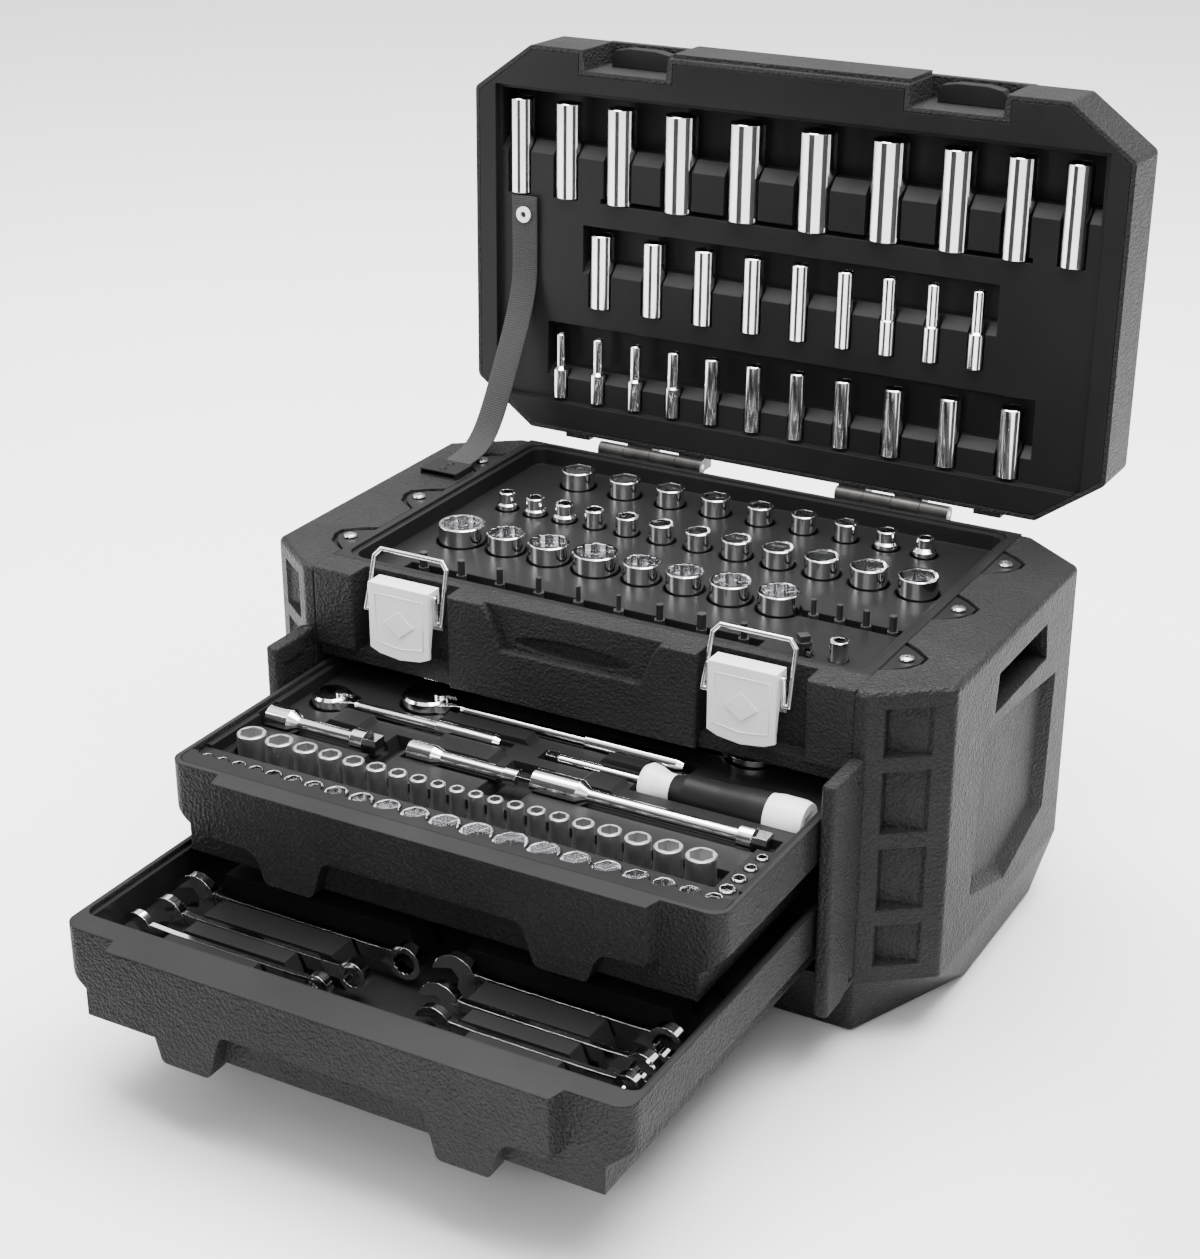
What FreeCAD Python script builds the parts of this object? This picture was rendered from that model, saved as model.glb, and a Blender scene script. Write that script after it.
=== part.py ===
import FreeCAD, Part
import math
import os

# Socket wrench set in a chest: lidded top tray, two drawers, two lock flaps, two draw latches.
# Frame: millimetres, +Z up, -Y is the front, origin at the centre of the chest's underside.
# Rest pose: lid open on its strap, both drawers pulled out, lock flaps swung open.

# ---------------------------------------------------------------- driving dimensions
WIDTH = 470.0            # over the two side caps
DEPTH = 270.0            # front to back, without hinge and latches
HEIGHT = 233.0           # top of the chest, lid not counted
SEAM_Z = 42.5            # top of the base tub, bottom of the side caps
BOX_HALF = 186.0         # half width at the joint between top box and side caps
CAP_FRONT_HALF = 193.0   # where the cap's corner chamfer starts
CORNER_Y = 32.0          # how far the corner chamfers run along Y
WALL = 3.0               # moulded wall
CLEAR = 0.4              # gap round a piece that drops into a pocket
SLIDE_GAP = 0.4          # gap between drawer and rail
BOX_FLOOR_Z = 171.0      # underside of the top box
TRAY_Z = 219.5           # deck that the tray sockets stand through
TRAY_SEAT = 14.0         # depth of the tray socket seats
PIT_ROOM = 1.8           # finger room round a tray socket at the deck
PIT_DEEP = 5.0
LID_T = 48.0             # lid thickness, rim to top
LID_OPEN = 91.2          # degrees the lid turns back from closed
HINGE_Y = 142.6          # lid hinge axis
HINGE_RISE = 1.0         # lid hinge axis above the chest's top
RIM_GAP = 0.6            # lid rim above the hinge axis when closed
LID_BACK = 6.2           # lid's rear face from the hinge axis
PIN_R = 2.0              # hinge pin radius
PIN_FIT = 0.08           # running clearance of a pin in its bore
DRAWER_HALF = 183.0      # half width of a drawer's rim
DRAWER_DEPTH = 266.0     # drawer length behind its recessed front ends
DRAWER_TOP = {"upper": 166.8, "lower": 108.8}
DRAWER_OUT = {"upper": 156.5, "lower": 258.0}    # travel, all of it used at rest
FOOT_DROP = {"upper": 57.0, "lower": 61.5}       # fascia foot below the drawer's rim
FASCIA_HALF = 145.5      # half width of the fascia's raised middle
FASCIA_STEP = 11.0       # how far the middle stands in front of the ends
FLANGE_H = 27.5          # height of a drawer's full-width upper part
TUB_INSET = 14.0         # how far the drawer's tub steps in from its rim
SHOULDER = 11.0          # height of the slope between them
TUB_DEEP = 56.0          # drawer tub bottom below the rim
FLAP_T = 9.6             # lock flap thickness
FLAP_LEN = 37.0          # lock flap from its pin to its free edge
FLAP_Z = (41.5, 192.0)
FLAP_PIN = (190.2, -139.9)
LATCH_X = 118.0          # latch centre from the middle of the chest
LEVER_HALF = 22.0
LATCH_PIN = (-131.0, HEIGHT - 5.0)
BAIL_PIVOT = (-135.6, HEIGHT - 3.0)
BAIL_R = 1.5             # bail wire radius
STRAP_W = 20.0
STRAP_T = 1.4

HALF_W = WIDTH / 2.0
HALF_D = DEPTH / 2.0
HINGE_Z = HEIGHT + HINGE_RISE
FRONT_Y = -HALF_D
UP = FreeCAD.Vector(0, 0, 1)


# ---------------------------------------------------------------- small helpers
def vec(x, y, z):
    return FreeCAD.Vector(x, y, z)


def box(x0, x1, y0, y1, z0, z1):
    return Part.makeBox(x1 - x0, y1 - y0, z1 - z0, vec(x0, y0, z0))


def cyl(radius, start, end):
    axis = vec(*end) - vec(*start)
    return Part.makeCylinder(radius, axis.Length, vec(*start), axis)


def wire(points):
    corners = [vec(*p) for p in points]
    return Part.makePolygon(corners + corners[:1])


def prism_z(points, z0, z1):
    return Part.Face(wire([(x, y, z0) for x, y in points])).extrude(vec(0, 0, z1 - z0))


def prism_y(points, y0, y1):
    return Part.Face(wire([(x, y0, z) for x, z in points])).extrude(vec(0, y1 - y0, 0))


def prism_x(points, x0, x1):
    return Part.Face(wire([(x0, y, z) for y, z in points])).extrude(vec(x1 - x0, 0, 0))


def rounded(x0, x1, y0, y1, z0, z1, r):
    """Box with its four vertical edges rounded."""
    c = r * (1 - math.sqrt(0.5))
    edges = []
    arcs = [
        ((x1 - r, y0), (x1 - c, y0 + c), (x1, y0 + r)),
        ((x1, y1 - r), (x1 - c, y1 - c), (x1 - r, y1)),
        ((x0 + r, y1), (x0 + c, y1 - c), (x0, y1 - r)),
        ((x0, y0 + r), (x0 + c, y0 + c), (x0 + r, y0)),
    ]
    for i, (a, m, b) in enumerate(arcs):
        edges.append(Part.Arc(vec(*a, z0), vec(*m, z0), vec(*b, z0)).toShape())
        nxt = arcs[(i + 1) % 4][0]
        if (vec(*b, z0) - vec(*nxt, z0)).Length > 1e-6:
            edges.append(Part.LineSegment(vec(*b, z0), vec(*nxt, z0)).toShape())
    return Part.Face(Part.Wire(edges)).extrude(vec(0, 0, z1 - z0))


def ngon(n, across, x, y, turn=0.0):
    """Corners of a regular polygon, sized across its flats."""
    radius = across / 2.0 / math.cos(math.pi / n)
    return [(x + radius * math.cos(turn + 2 * math.pi * i / n),
             y + radius * math.sin(turn + 2 * math.pi * i / n)) for i in range(n)]


def eased(points, radii):
    """Closed outline whose corners are rounded to the given radii; 0 keeps a corner sharp."""
    corners = [vec(*p) for p in points]
    bends = []
    for i, corner in enumerate(corners):
        back = (corners[i - 1] - corner).normalize()
        ahead = (corners[(i + 1) % len(corners)] - corner).normalize()
        half = back.getAngle(ahead) / 2
        middle = (back + ahead).normalize()
        run = radii[i] / math.tan(half)
        bends.append((corner + back * run, corner + middle * radii[i] * (1 / math.sin(half) - 1),
                      corner + ahead * run))
    edges = []
    for i, (start, top, end) in enumerate(bends):
        if radii[i]:
            edges.append(Part.Arc(start, top, end).toShape())
        edges.append(Part.LineSegment(end, bends[(i + 1) % len(bends)][0]).toShape())
    return Part.Wire(edges)


def fuse(shapes):
    return shapes[0].multiFuse(shapes[1:]).removeSplitter() if len(shapes) > 1 else shapes[0]


def cut(shape, tools):
    return shape.cut(Part.makeCompound(tools)) if tools else shape


def mirrored(shape):
    return shape.mirror(vec(0, 0, 0), vec(1, 0, 0))


def softened(shape, radius, pick):
    """Rounds the edges that pick says yes to, given each edge's box."""
    return shape.makeFillet(radius, [edge for edge in shape.Edges if pick(edge.BoundBox)])


def both_sides(shapes):
    return shapes + [mirrored(s) for s in shapes]


def placed(shape, pos, axis=None, degrees=0.0):
    out = shape.copy()
    if axis:
        out.rotate(vec(0, 0, 0), vec(*axis), degrees)
    out.translate(vec(*pos))
    return out


def spread(start, end, sizes, extra):
    """Centres from start to end, each pitch in step with its two neighbours' size."""
    pitches = [(a + b) / 2.0 + extra for a, b in zip(sizes, sizes[1:])]
    scale = (end - start) / sum(pitches)
    out = [start]
    for pitch in pitches:
        out.append(out[-1] + pitch * scale)
    return out


def save(name, shapes):
    shapes = shapes if isinstance(shapes, list) else [shapes]
    solids = [solid for shape in shapes for solid in shape.Solids]
    shape = solids[0] if len(solids) == 1 else Part.makeCompound(solids)
    shape.exportStep("parts/" + name + ".step")
    return shape


# ---------------------------------------------------------------- sockets
def turned(profile):
    """Solid of revolution about Z from (radius, height) points."""
    return Part.Face(wire([(r, 0, z) for r, z in profile])).revolve(vec(0, 0, 0), UP, 360)


def socket(od, length, flats, drive, points=6, base_od=None, neck=None):
    """Socket standing on its drive end. base_od is the drive end, neck the height where it narrows."""
    base = (base_od or od) / 2.0
    top = od / 2.0
    edge = 0.6
    neck = neck or length * 0.45
    slope = abs(base - top) + 0.01
    profile = [(0, 0), (base - edge, 0), (base, edge), (base, neck), (top, neck + slope),
               (top, length - edge), (top - edge, length), (0, length)]
    if base == top:
        profile = [p for p in profile if p[1] not in (neck, neck + slope)]
    body = turned(profile)
    bore = [prism_z(ngon(6, flats, 0, 0, turn), length * 0.5, length + 1)
            for turn in ([0.0] if points == 6 else [0.0, math.pi / 6])]
    square = prism_z(ngon(4, drive, 0, 0, math.pi / 4), -1, length * 0.4)
    return cut(body, bore + [square])


def flats_for(od):
    """Across-flats size that a socket of this outer diameter takes."""
    return (od - 2.6) / 1.18


# ---------------------------------------------------------------- base and side caps
def octagon(half_w, front, back, front_half, back_half, front_run, back_run):
    right = [(front_half, front), (half_w, front + front_run), (half_w, back - back_run), (back_half, back)]
    return right + [(-x, y) for x, y in reversed(right)]


def seam_outline(inset=0.0):
    return octagon(HALF_W - inset, FRONT_Y + inset, HALF_D - inset, CAP_FRONT_HALF - inset * 0.4,
                   CAP_FRONT_HALF - inset * 0.4, CORNER_Y - inset * 0.3, CORNER_Y - inset * 0.3)


def foot_outline(inset=0.0):
    return octagon(HALF_W - 9.0 - inset, FRONT_Y + 11.5 + inset, HALF_D - 11.5 - inset,
                   CAP_FRONT_HALF - 4.0 - inset * 0.4, CAP_FRONT_HALF - 4.0 - inset * 0.4,
                   96.0 - inset * 0.3, 40.0 - inset * 0.3)


def loft(low, high, z0, z1):
    return Part.makeLoft([wire([(x, y, z0) for x, y in low]), wire([(x, y, z1) for x, y in high])],
                         True, True)


def base_tub():
    outer = loft(foot_outline(), seam_outline(), 0, SEAM_Z)
    outer = softened(outer, 5.0, lambda b: b.ZMin < 1.0)
    inner = loft(foot_outline(WALL), seam_outline(WALL), WALL + 1, SEAM_Z + 0.001)
    return outer.cut(inner)


def floor_panel():
    return prism_z(seam_outline(WALL + 6.0), SEAM_Z - 3.4, SEAM_Z - 0.4)


GRIP_Z = [(191, 222), (142, 182), (91, 132), (53, 81)]    # pockets in the front chamfer, top to bottom
TAB_Y = (-80.5, 1.0, 81.5)                                # screw tabs along the caps
TAB_ROOM = 2.6                                            # gap between a tab and its recess
CAP_ROUND = 4.5                                           # rounding of the side caps' outer edges


def tab_outline(y, grow=0.0):
    return [(BOX_HALF - 1, y - 21 - grow), (BOX_HALF + 12 + grow, y - 10 - grow),
            (BOX_HALF + 17 + grow, y - 2), (BOX_HALF + 17 + grow, y + 6), (BOX_HALF + 9, y + 13 + grow),
            (BOX_HALF - 1, y + 19 + grow)]


def grip_pockets():
    """Four grip pockets in the front corner chamfer, deepest at their inner side."""
    run = vec(HALF_W - CAP_FRONT_HALF, CORNER_Y, 0)
    along = run.normalize()
    inward = vec(-along.y, along.x, 0)
    start = vec(CAP_FRONT_HALF, FRONT_Y, 0)
    out = []
    section = [(10.5, -1.0), (12.5, 1.5), (16.0, 8.0), (38.0, 2.2), (41.0, -1.0)]
    for low, high in GRIP_Z:
        pts = [start + along * s + inward * d + UP * low for s, d in section]
        out.append(Part.Face(Part.makePolygon(pts + pts[:1])).extrude(UP * (high - low)))
    return out


def sunk_panel(outline, inset, depth):
    """Recess in the cap's side with sloping walls: outline at the face, a smaller one below."""
    cy = sum(y for y, _ in outline) / len(outline)
    cz = sum(z for _, z in outline) / len(outline)

    def ring(shrink, x):
        reach = [(y, z, math.hypot(y - cy, z - cz)) for y, z in outline]
        return wire([(x, cy + (y - cy) * (r - shrink) / r, cz + (z - cz) * (r - shrink) / r)
                     for y, z, r in reach])

    return Part.makeLoft([ring(0, HALF_W + 0.01), ring(inset, HALF_W - depth)], True, True)


def side_cap():
    """Right side cap: a hollow shell with an inner wall towards the drawer bay."""
    outline = [(BOX_HALF, FRONT_Y), (CAP_FRONT_HALF, FRONT_Y), (HALF_W, FRONT_Y + CORNER_Y),
               (HALF_W, HALF_D - CORNER_Y), (CAP_FRONT_HALF, HALF_D), (BOX_HALF, HALF_D)]
    shell = prism_z(outline, SEAM_Z, HEIGHT)
    shell = softened(shell, CAP_ROUND, lambda b: b.XMax > BOX_HALF + 1 and b.ZMax > HEIGHT - 1
                     and (b.ZMin > HEIGHT - 1 or b.XMin > BOX_HALF + 1))
    hollow = [(BOX_HALF + WALL, FRONT_Y + 12), (HALF_W - 10, FRONT_Y + CORNER_Y + 10),
              (HALF_W - 10, HALF_D - CORNER_Y - 4), (BOX_HALF + WALL, HALF_D - 4)]
    cuts = [prism_z(hollow, SEAM_Z - 1, 176)]
    cuts += grip_pockets()
    slot = [(-37, 188), (53, 188), (49, 213), (-33, 213)]
    cuts.append(prism_x(slot, HALF_W - 22, HALF_W + 1))
    cuts.append(sunk_panel([(-59, 75), (2, 57), (69, 77), (74, 170), (-54, 184)], 10.0, 7.0))
    cuts += [prism_z(tab_outline(y, TAB_ROOM), HEIGHT - 4.2, HEIGHT + 1) for y in TAB_Y]
    cuts += [cyl(1.6, (BOX_HALF + 8.5, y, HEIGHT - 22), (BOX_HALF + 8.5, y, HEIGHT)) for y in TAB_Y]
    return cut(shell, cuts)


def cap_screws():
    out = []
    for y in TAB_Y:
        head = turned([(0, 0), (3.4, 0), (4.6, 0.8), (4.2, 1.6), (2.4, 2.2), (0, 2.3)])
        head = head.cut(prism_z(ngon(4, 2.2, 0, 0), 1.1, 4))
        shank = Part.makeCylinder(1.5, 15, vec(0, 0, -15))
        out.append(placed(fuse([head, shank]), (BOX_HALF + 8.5, y, HEIGHT - 0.9)))
    return both_sides(out)


def back_panel():
    plate = box(-BOX_HALF + 0.1, BOX_HALF - 0.1, HALF_D - 3.6, HALF_D, SEAM_Z, BOX_FLOOR_Z)
    ribs = [box(x - 3, x + 3, HALF_D - 0.01, HALF_D + 2.5, SEAM_Z + 12, BOX_FLOOR_Z - 10) for x in
            range(-150, 151, 50)]
    return fuse([plate] + ribs)


def rails(top):
    """Two ledges on the bay's side walls, under the shoulders of one drawer."""
    low = top - FLANGE_H - SHOULDER - SLIDE_GAP * 1.27
    high = low + SHOULDER
    tub = DRAWER_HALF - TUB_INSET
    edge = tub + 0.8
    profile = [(edge, low - 2), (BOX_HALF, low - 2), (BOX_HALF, high), (DRAWER_HALF, high),
               (edge, low + (edge - tub) * SHOULDER / TUB_INSET)]
    return both_sides([prism_y(profile, FRONT_Y + 1.5, HALF_D - 4.2)])


# ---------------------------------------------------------------- top box and tray
LATCH_RECESS = (86.0, 156.0)
RECESS_BACK = -118.5


def top_box():
    outer = box(-BOX_HALF, BOX_HALF, FRONT_Y, HALF_D, BOX_FLOOR_Z, HEIGHT)
    hollow = box(-BOX_HALF + WALL, BOX_HALF - WALL, -112.0, HALF_D - WALL, BOX_FLOOR_Z + WALL, HEIGHT + 1)
    x0, x1 = LATCH_RECESS
    cuts = [hollow, box(-BOX_HALF - 1, BOX_HALF + 1, -112.0, HALF_D + 1, HEIGHT - 3.0, HEIGHT + 1)]
    cuts += both_sides([box(x0, x1, FRONT_Y - 1, RECESS_BACK, BOX_FLOOR_Z + 9, HEIGHT + 1)])
    cuts += both_sides([box(x0, BOX_HALF + 1, FRONT_Y - 1, FRONT_Y + 5, BOX_FLOOR_Z - 1, BOX_FLOOR_Z + 9)])
    scoop = [(-62, HEIGHT + 1), (62, HEIGHT + 1), (56, HEIGHT - 8), (48, HEIGHT - 28), (-48, HEIGHT - 28),
             (-56, HEIGHT - 8)]
    cuts.append(prism_y(scoop, FRONT_Y - 1, FRONT_Y + 5))
    groove = Part.makeSphere(1.0)
    stretch = FreeCAD.Matrix()
    stretch.scale(40.0, 9.0, 5.5)
    groove = groove.transformGeometry(stretch)
    groove.translate(vec(0, FRONT_Y + 5, HEIGHT - 21))
    cuts.append(groove)
    shell = cut(outer, cuts)
    return softened(shell, 1.6, lambda b: b.YMax < FRONT_Y + 0.01 and b.XMax - b.XMin + b.ZMax - b.ZMin > 4)


BACK_OD = [22.8, 21.5, 19.7, 19.9, 17.8, 16.8, 15.2, 13.2, 11.0]
MIDDLE_OD = [11.2, 12.4, 12.6, 13.5, 15.5, 16.8, 17.5, 20.2, 20.8, 22.9, 24.2, 25.6]
FRONT_OD = [30.8, 25.0, 27.2, 29.8, 24.0, 24.2, 26.9, 26.6]
SMALL_DRIVE = 6.35
MID_DRIVE = 9.53
BIG_DRIVE = 12.7
FLANGE_OD = {11.0: 15.6, 13.2: 16.0, 11.2: 13.4, 12.4: 14.4, 12.6: 15.4}
TRAY_ROWS = [
    ("tray_sockets_back", BACK_OD, (-127.5, 132.0), 101.0, 6, MID_DRIVE),
    ("tray_sockets_middle", MIDDLE_OD, (-148.5, 152.5), 40.0, 6, MID_DRIVE),
    ("tray_sockets_front", FRONT_OD, (-144.5, 86.5), -24.5, 12, BIG_DRIVE),
]
BIT_Y = -76.0
BIT_X = [-141.0 + 28.6 * i for i in range(9)]
TORX_X = [109.5 + 17.5 * i for i in range(4)]
TORX_Y = -23.0
TRAY_HALF = 176.5
TRAY_FRONT = -104.0
TRAY_BACK = 128.0


def tray_sockets():
    """Sockets that stand in the tray, open end up: {node: [(x, y, od, solid)]}."""
    rows = {}
    for name, ods, (x0, x1), y, points, drive in TRAY_ROWS:
        rows[name] = []
        for x, od in zip(spread(x0, x1, ods, 14.0), ods):
            base = FLANGE_OD.get(od, od)
            neck = 17.5 if base > od else None
            small = min(drive, od * 0.62)
            solid = socket(od, 26.5, flats_for(od), small, points, base, neck)
            rows[name].append((x, y, max(od, base), placed(solid, (x, y, TRAY_Z - TRAY_SEAT))))
    return rows


def hex_bit(length=25.0, flats=6.35, tip=3.6):
    shank = prism_z(ngon(6, flats, 0, 0), 0, length * 0.6)
    blade = prism_z(ngon(6, tip, 0, 0), length * 0.6, length)
    return fuse([shank, blade])


def tray_bits():
    tips = [5.0, 4.5, 4.0, 3.5, 3.0, 2.8, 4.2, 5.5, 3.8]
    return [placed(hex_bit(25, 6.35, tip), (x, BIT_Y, TRAY_Z - TRAY_SEAT)) for x, tip in zip(BIT_X, tips)]


def tray_torx_bits():
    return [placed(hex_bit(25, 6.35, 3.2 + 0.4 * i), (x, TORX_Y, TRAY_Z - TRAY_SEAT))
            for i, x in enumerate(TORX_X)]


JOINT_AT = (128.0, -78.0)
ADAPTER_AT = (149.5, -75.0)


def universal_joint():
    x, y = JOINT_AT
    z = TRAY_Z - TRAY_SEAT
    lower = fuse([Part.makeCylinder(5.8, 10), box(-5.2, -2.6, -3, 3, 9, 18), box(2.6, 5.2, -3, 3, 9, 18)])
    lower = lower.cut(cyl(1.5 + PIN_FIT, (-6, 0, 15), (6, 0, 15)))
    return placed(lower, (x, y, z))


def joint_yoke():
    x, y = JOINT_AT
    z = TRAY_Z - TRAY_SEAT
    cross = fuse([cyl(1.5, (-5.2, 0, 15), (5.2, 0, 15)), cyl(1.5, (0, -4.5, 15), (0, 4.5, 15)),
                  box(-2.2, 2.2, -2.2, 2.2, 12.8, 17.2)])
    ears = [box(-2.2, 2.2, 3.0, 4.8, 12.5, 20.5), box(-2.2, 2.2, -4.8, -3.0, 12.5, 20.5)]
    top = fuse([Part.makeCylinder(5.0, 3, vec(0, 0, 20)), prism_z(ngon(4, SMALL_DRIVE, 0, 0), 23, 27)])
    return placed(fuse([cross, top] + ears), (x, y, z))


def drive_adapter():
    body = socket(11.6, 27, 6.35, SMALL_DRIVE)
    return placed(body, (*ADAPTER_AT, TRAY_Z - TRAY_SEAT))


def tray_insert(rows):
    """Smooth moulded deck with its rim, screw tabs and a seat for every piece."""
    rim = box(-BOX_HALF + 0.2, BOX_HALF - 0.2, -111.8, HALF_D - 0.2, HEIGHT - 3.0, HEIGHT)
    body = box(-TRAY_HALF - 2.5, TRAY_HALF + 2.5, TRAY_FRONT - 2.5, TRAY_BACK + 2.5,
               TRAY_Z - TRAY_SEAT - 2.5, HEIGHT - 2.9)
    bowl = rounded(-TRAY_HALF, TRAY_HALF, TRAY_FRONT, TRAY_BACK, TRAY_Z, HEIGHT + 1, 9)
    lip = rounded(-TRAY_HALF - 4, TRAY_HALF + 4, TRAY_FRONT - 4, TRAY_BACK + 3.5,
                  HEIGHT - 2.0, HEIGHT + 1, 12)
    tabs = both_sides([prism_z(tab_outline(y), HEIGHT - 3.0, HEIGHT - 0.9) for y in TAB_Y])
    seats = [Part.makeCylinder(od / 2 + CLEAR, TRAY_SEAT + 1, vec(x, y, TRAY_Z - TRAY_SEAT))
             for row in rows.values() for x, y, od, _ in row]
    seats += [Part.makeCylinder(od / 2 + PIT_ROOM, PIT_DEEP + 1, vec(x, y, TRAY_Z - PIT_DEEP))
              for row in rows.values() for x, y, od, _ in row]
    seats.append(box(BIT_X[0] - 12, BIT_X[-1] + 12, BIT_Y - 5, BIT_Y + 5, TRAY_Z - 6, TRAY_Z + 1))
    seats.append(box(TORX_X[0] - 9, TORX_X[-1] + 9, TORX_Y - 5, TORX_Y + 5, TRAY_Z - 6, TRAY_Z + 1))
    hex_seat = 6.35 + 2 * CLEAR
    seats += [prism_z(ngon(6, hex_seat, x, BIT_Y), TRAY_Z - TRAY_SEAT, TRAY_Z) for x in BIT_X]
    seats += [prism_z(ngon(6, hex_seat, x, TORX_Y), TRAY_Z - TRAY_SEAT, TRAY_Z) for x in TORX_X]
    for (x, y), r in ((JOINT_AT, 6.2), (ADAPTER_AT, 6.2)):
        seats.append(Part.makeCylinder(r, TRAY_SEAT + 1, vec(x, y, TRAY_Z - TRAY_SEAT)))
    screw_holes = both_sides([cyl(1.9, (BOX_HALF + 8.5, y, HEIGHT - 9), (BOX_HALF + 8.5, y, HEIGHT + 1))
                              for y in TAB_Y])
    skin = fuse([rim, body] + tabs)
    return cut(cut(skin, [bowl, lip]), seats + screw_holes)


# ---------------------------------------------------------------- drawers
def fascia_outline(top, foot):
    """Front view of the fascia's raised middle: two feet with a finger arch between them."""
    half = [(-FASCIA_HALF, top, 0), (-FASCIA_HALF, top - 36.5, 0), (-114, top - 36.5, 12),
            (-107, foot, 4), (-74, foot, 5), (-66, top - 31.5, 7)]
    return half + [(-x, z, r) for x, z, r in reversed(half)]


def drawer_shell(level):
    top = DRAWER_TOP[level]
    foot = top - FOOT_DROP[level]
    y0 = FRONT_Y - DRAWER_OUT[level]
    y1 = y0 + DRAWER_DEPTH
    tub = DRAWER_HALF - TUB_INSET

    def section(t):
        right = [(tub - t, top - TUB_DEEP + t), (tub - t, top - FLANGE_H - SHOULDER),
                 (DRAWER_HALF - t, top - FLANGE_H), (DRAWER_HALF - t, top + (1 if t else 0))]
        return right + [(-x, z) for x, z in reversed(right)]

    r = 11.0
    body = prism_y(section(0), y0, y1)
    body = body.common(rounded(-DRAWER_HALF, DRAWER_HALF, y0, y1, top - TUB_DEEP - 1, top + 1, r))
    nose = [(-FASCIA_HALF, y0), (-FASCIA_HALF + 3, y0 - FASCIA_STEP), (FASCIA_HALF - 3, y0 - FASCIA_STEP),
            (FASCIA_HALF, y0), (FASCIA_HALF, y0 + 2), (-FASCIA_HALF, y0 + 2)]
    outline = fascia_outline(top, foot)
    front = eased([(x, y0 - FASCIA_STEP - 1, z) for x, z, _ in outline], [bend for _, _, bend in outline])
    fascia = prism_z(nose, foot, top).common(Part.Face(front).extrude(vec(0, FASCIA_STEP + 4, 0)))
    room = DRAWER_HALF - WALL
    ledge = y0 + BAND[level]
    cavity = prism_y(section(WALL), ledge, y1 - WALL)
    cavity = cavity.common(rounded(-room, room, ledge, y1 - WALL, top - TUB_DEEP, top + 2, r - WALL))
    return fuse([body, fascia]).cut(cavity)


BAND = {"upper": 4.0, "lower": 16.0}             # solid front of a drawer behind its recessed ends
PLANE_DROP = 10.8        # insert's deck below the drawer's rim, upper drawer
DECK_Z = DRAWER_TOP["upper"] - PLANE_DROP
UPPER_Y = FRONT_Y - DRAWER_OUT["upper"]
LOWER_Y = FRONT_Y - DRAWER_OUT["lower"]

ROW_OD = [7.0, 7.4, 8.8, 9.0, 10.2, 11.4, 11.8, 14.2, 15.1, 16.2, 16.8, 18.6, 19.8, 20.4, 18.8, 17.4,
          16.6, 14.8, 13.3, 12.1, 10.8]
SIDE_OD = [9.6, 8.4, 7.5, 6.9]
GREY_OD = [17.8, 16.9, 14.8, 13.8, 13.0, 12.0, 11.0, 10.2, 9.0, 9.0, 9.0, 9.4, 9.8, 10.6, 11.6, 12.6, 13.8,
           15.2, 16.4, 17.6]


SHELF_Z = 162.0          # raised shelf the short front sockets stand in
ROW_Y = UPPER_Y + 21.8   # short sockets' row
SHORT_PROUD = 1.5        # how far the short sockets stand above the shelf
SHORT_LEN = 20.0
TRENCH_Z = 150.0         # floor of the trench the satin sockets stand in
GREY_SEAT = 13.0         # depth of the seats of the satin sockets behind them


def short_sockets():
    """Front row and the few that turn the corner: [(x, y, od, solid)]."""
    spots = [(x, ROW_Y, od) for x, od in zip(spread(-170.0, 166.5, ROW_OD, 5.5), ROW_OD)]
    spots += [(168.5 + 0.6 * i, ROW_Y + 12.0 + 13.2 * i, od) for i, od in enumerate(SIDE_OD)]
    out = []
    for x, y, od in spots:
        solid = socket(od, SHORT_LEN, flats_for(od + 1.2), min(SMALL_DRIVE, od * 0.62))
        out.append((x, y, od, placed(solid, (x, y, SHELF_Z + SHORT_PROUD - SHORT_LEN))))
    return out


def grey_sockets():
    y = UPPER_Y + 52.0
    out = []
    for x, od in zip(spread(-160.0, 143.5, GREY_OD, 5.0), GREY_OD):
        solid = socket(od, 25, flats_for(od), min(SMALL_DRIVE, od * 0.62))
        out.append((x, y, od, placed(solid, (x, y, DECK_Z - GREY_SEAT))))
    return out


def extension_bar(length, od, drive, neck=4.6):
    """Bar along +X: female end first, square drive last."""
    head = cyl(od / 2, (0, 0, 0), (length * 0.2, 0, 0))
    taper = placed(Part.makeCone(od / 2, neck, 6), (length * 0.2, 0, 0), (0, 1, 0), 90)
    bar = cyl(neck, (length * 0.2, 0, 0), (length - 16, 0, 0))
    collar = cyl(od * 0.42, (length - 18, 0, 0), (length - 9, 0, 0))
    half = drive / 2
    tip = box(length - 10, length, -half, half, -half, half)
    hole = box(-1, 10, -half, half, -half, half)
    return fuse([head, taper, bar, collar, tip]).cut(hole)


SELECTOR_AT = 0.6        # selector pivot from the head's centre, as a share of the head's radius


def ratchet(length, head_r, thick, drive):
    """Ratchet along +X with its round head at the origin, drive facing down."""
    head = turned([(0, -thick / 2), (head_r - 1.2, -thick / 2), (head_r, -thick / 2 + 1.2),
                   (head_r, thick / 2 - 1.5), (head_r - 1.5, thick / 2), (0, thick / 2)])
    neck = prism_z([(head_r * 0.5, -head_r * 0.8), (head_r * 1.6, -thick * 0.36),
                    (head_r * 1.6, thick * 0.36), (head_r * 0.5, head_r * 0.8)], -thick * 0.4, thick * 0.4)
    bar = cyl(thick * 0.3, (head_r * 1.2, 0, 0), (length * 0.62, 0, 0))
    grip = cyl(thick * 0.42, (length * 0.58, 0, 0), (length - head_r - 4, 0, 0))
    end = placed(Part.makeCone(thick * 0.42, thick * 0.3, 4), (length - head_r - 4, 0, 0), (0, 1, 0), 90)
    half = drive / 2
    square = box(-half, half, -half, half, -thick / 2 - drive, -thick / 2 + 1)
    seat = Part.makeCylinder(head_r * 0.3 + PIN_FIT, 6, vec(head_r * SELECTOR_AT, 0, thick * 0.4 - 1.6))
    body = fuse([head, neck, bar, grip, end, square])
    return cut(body, [seat])


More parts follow.
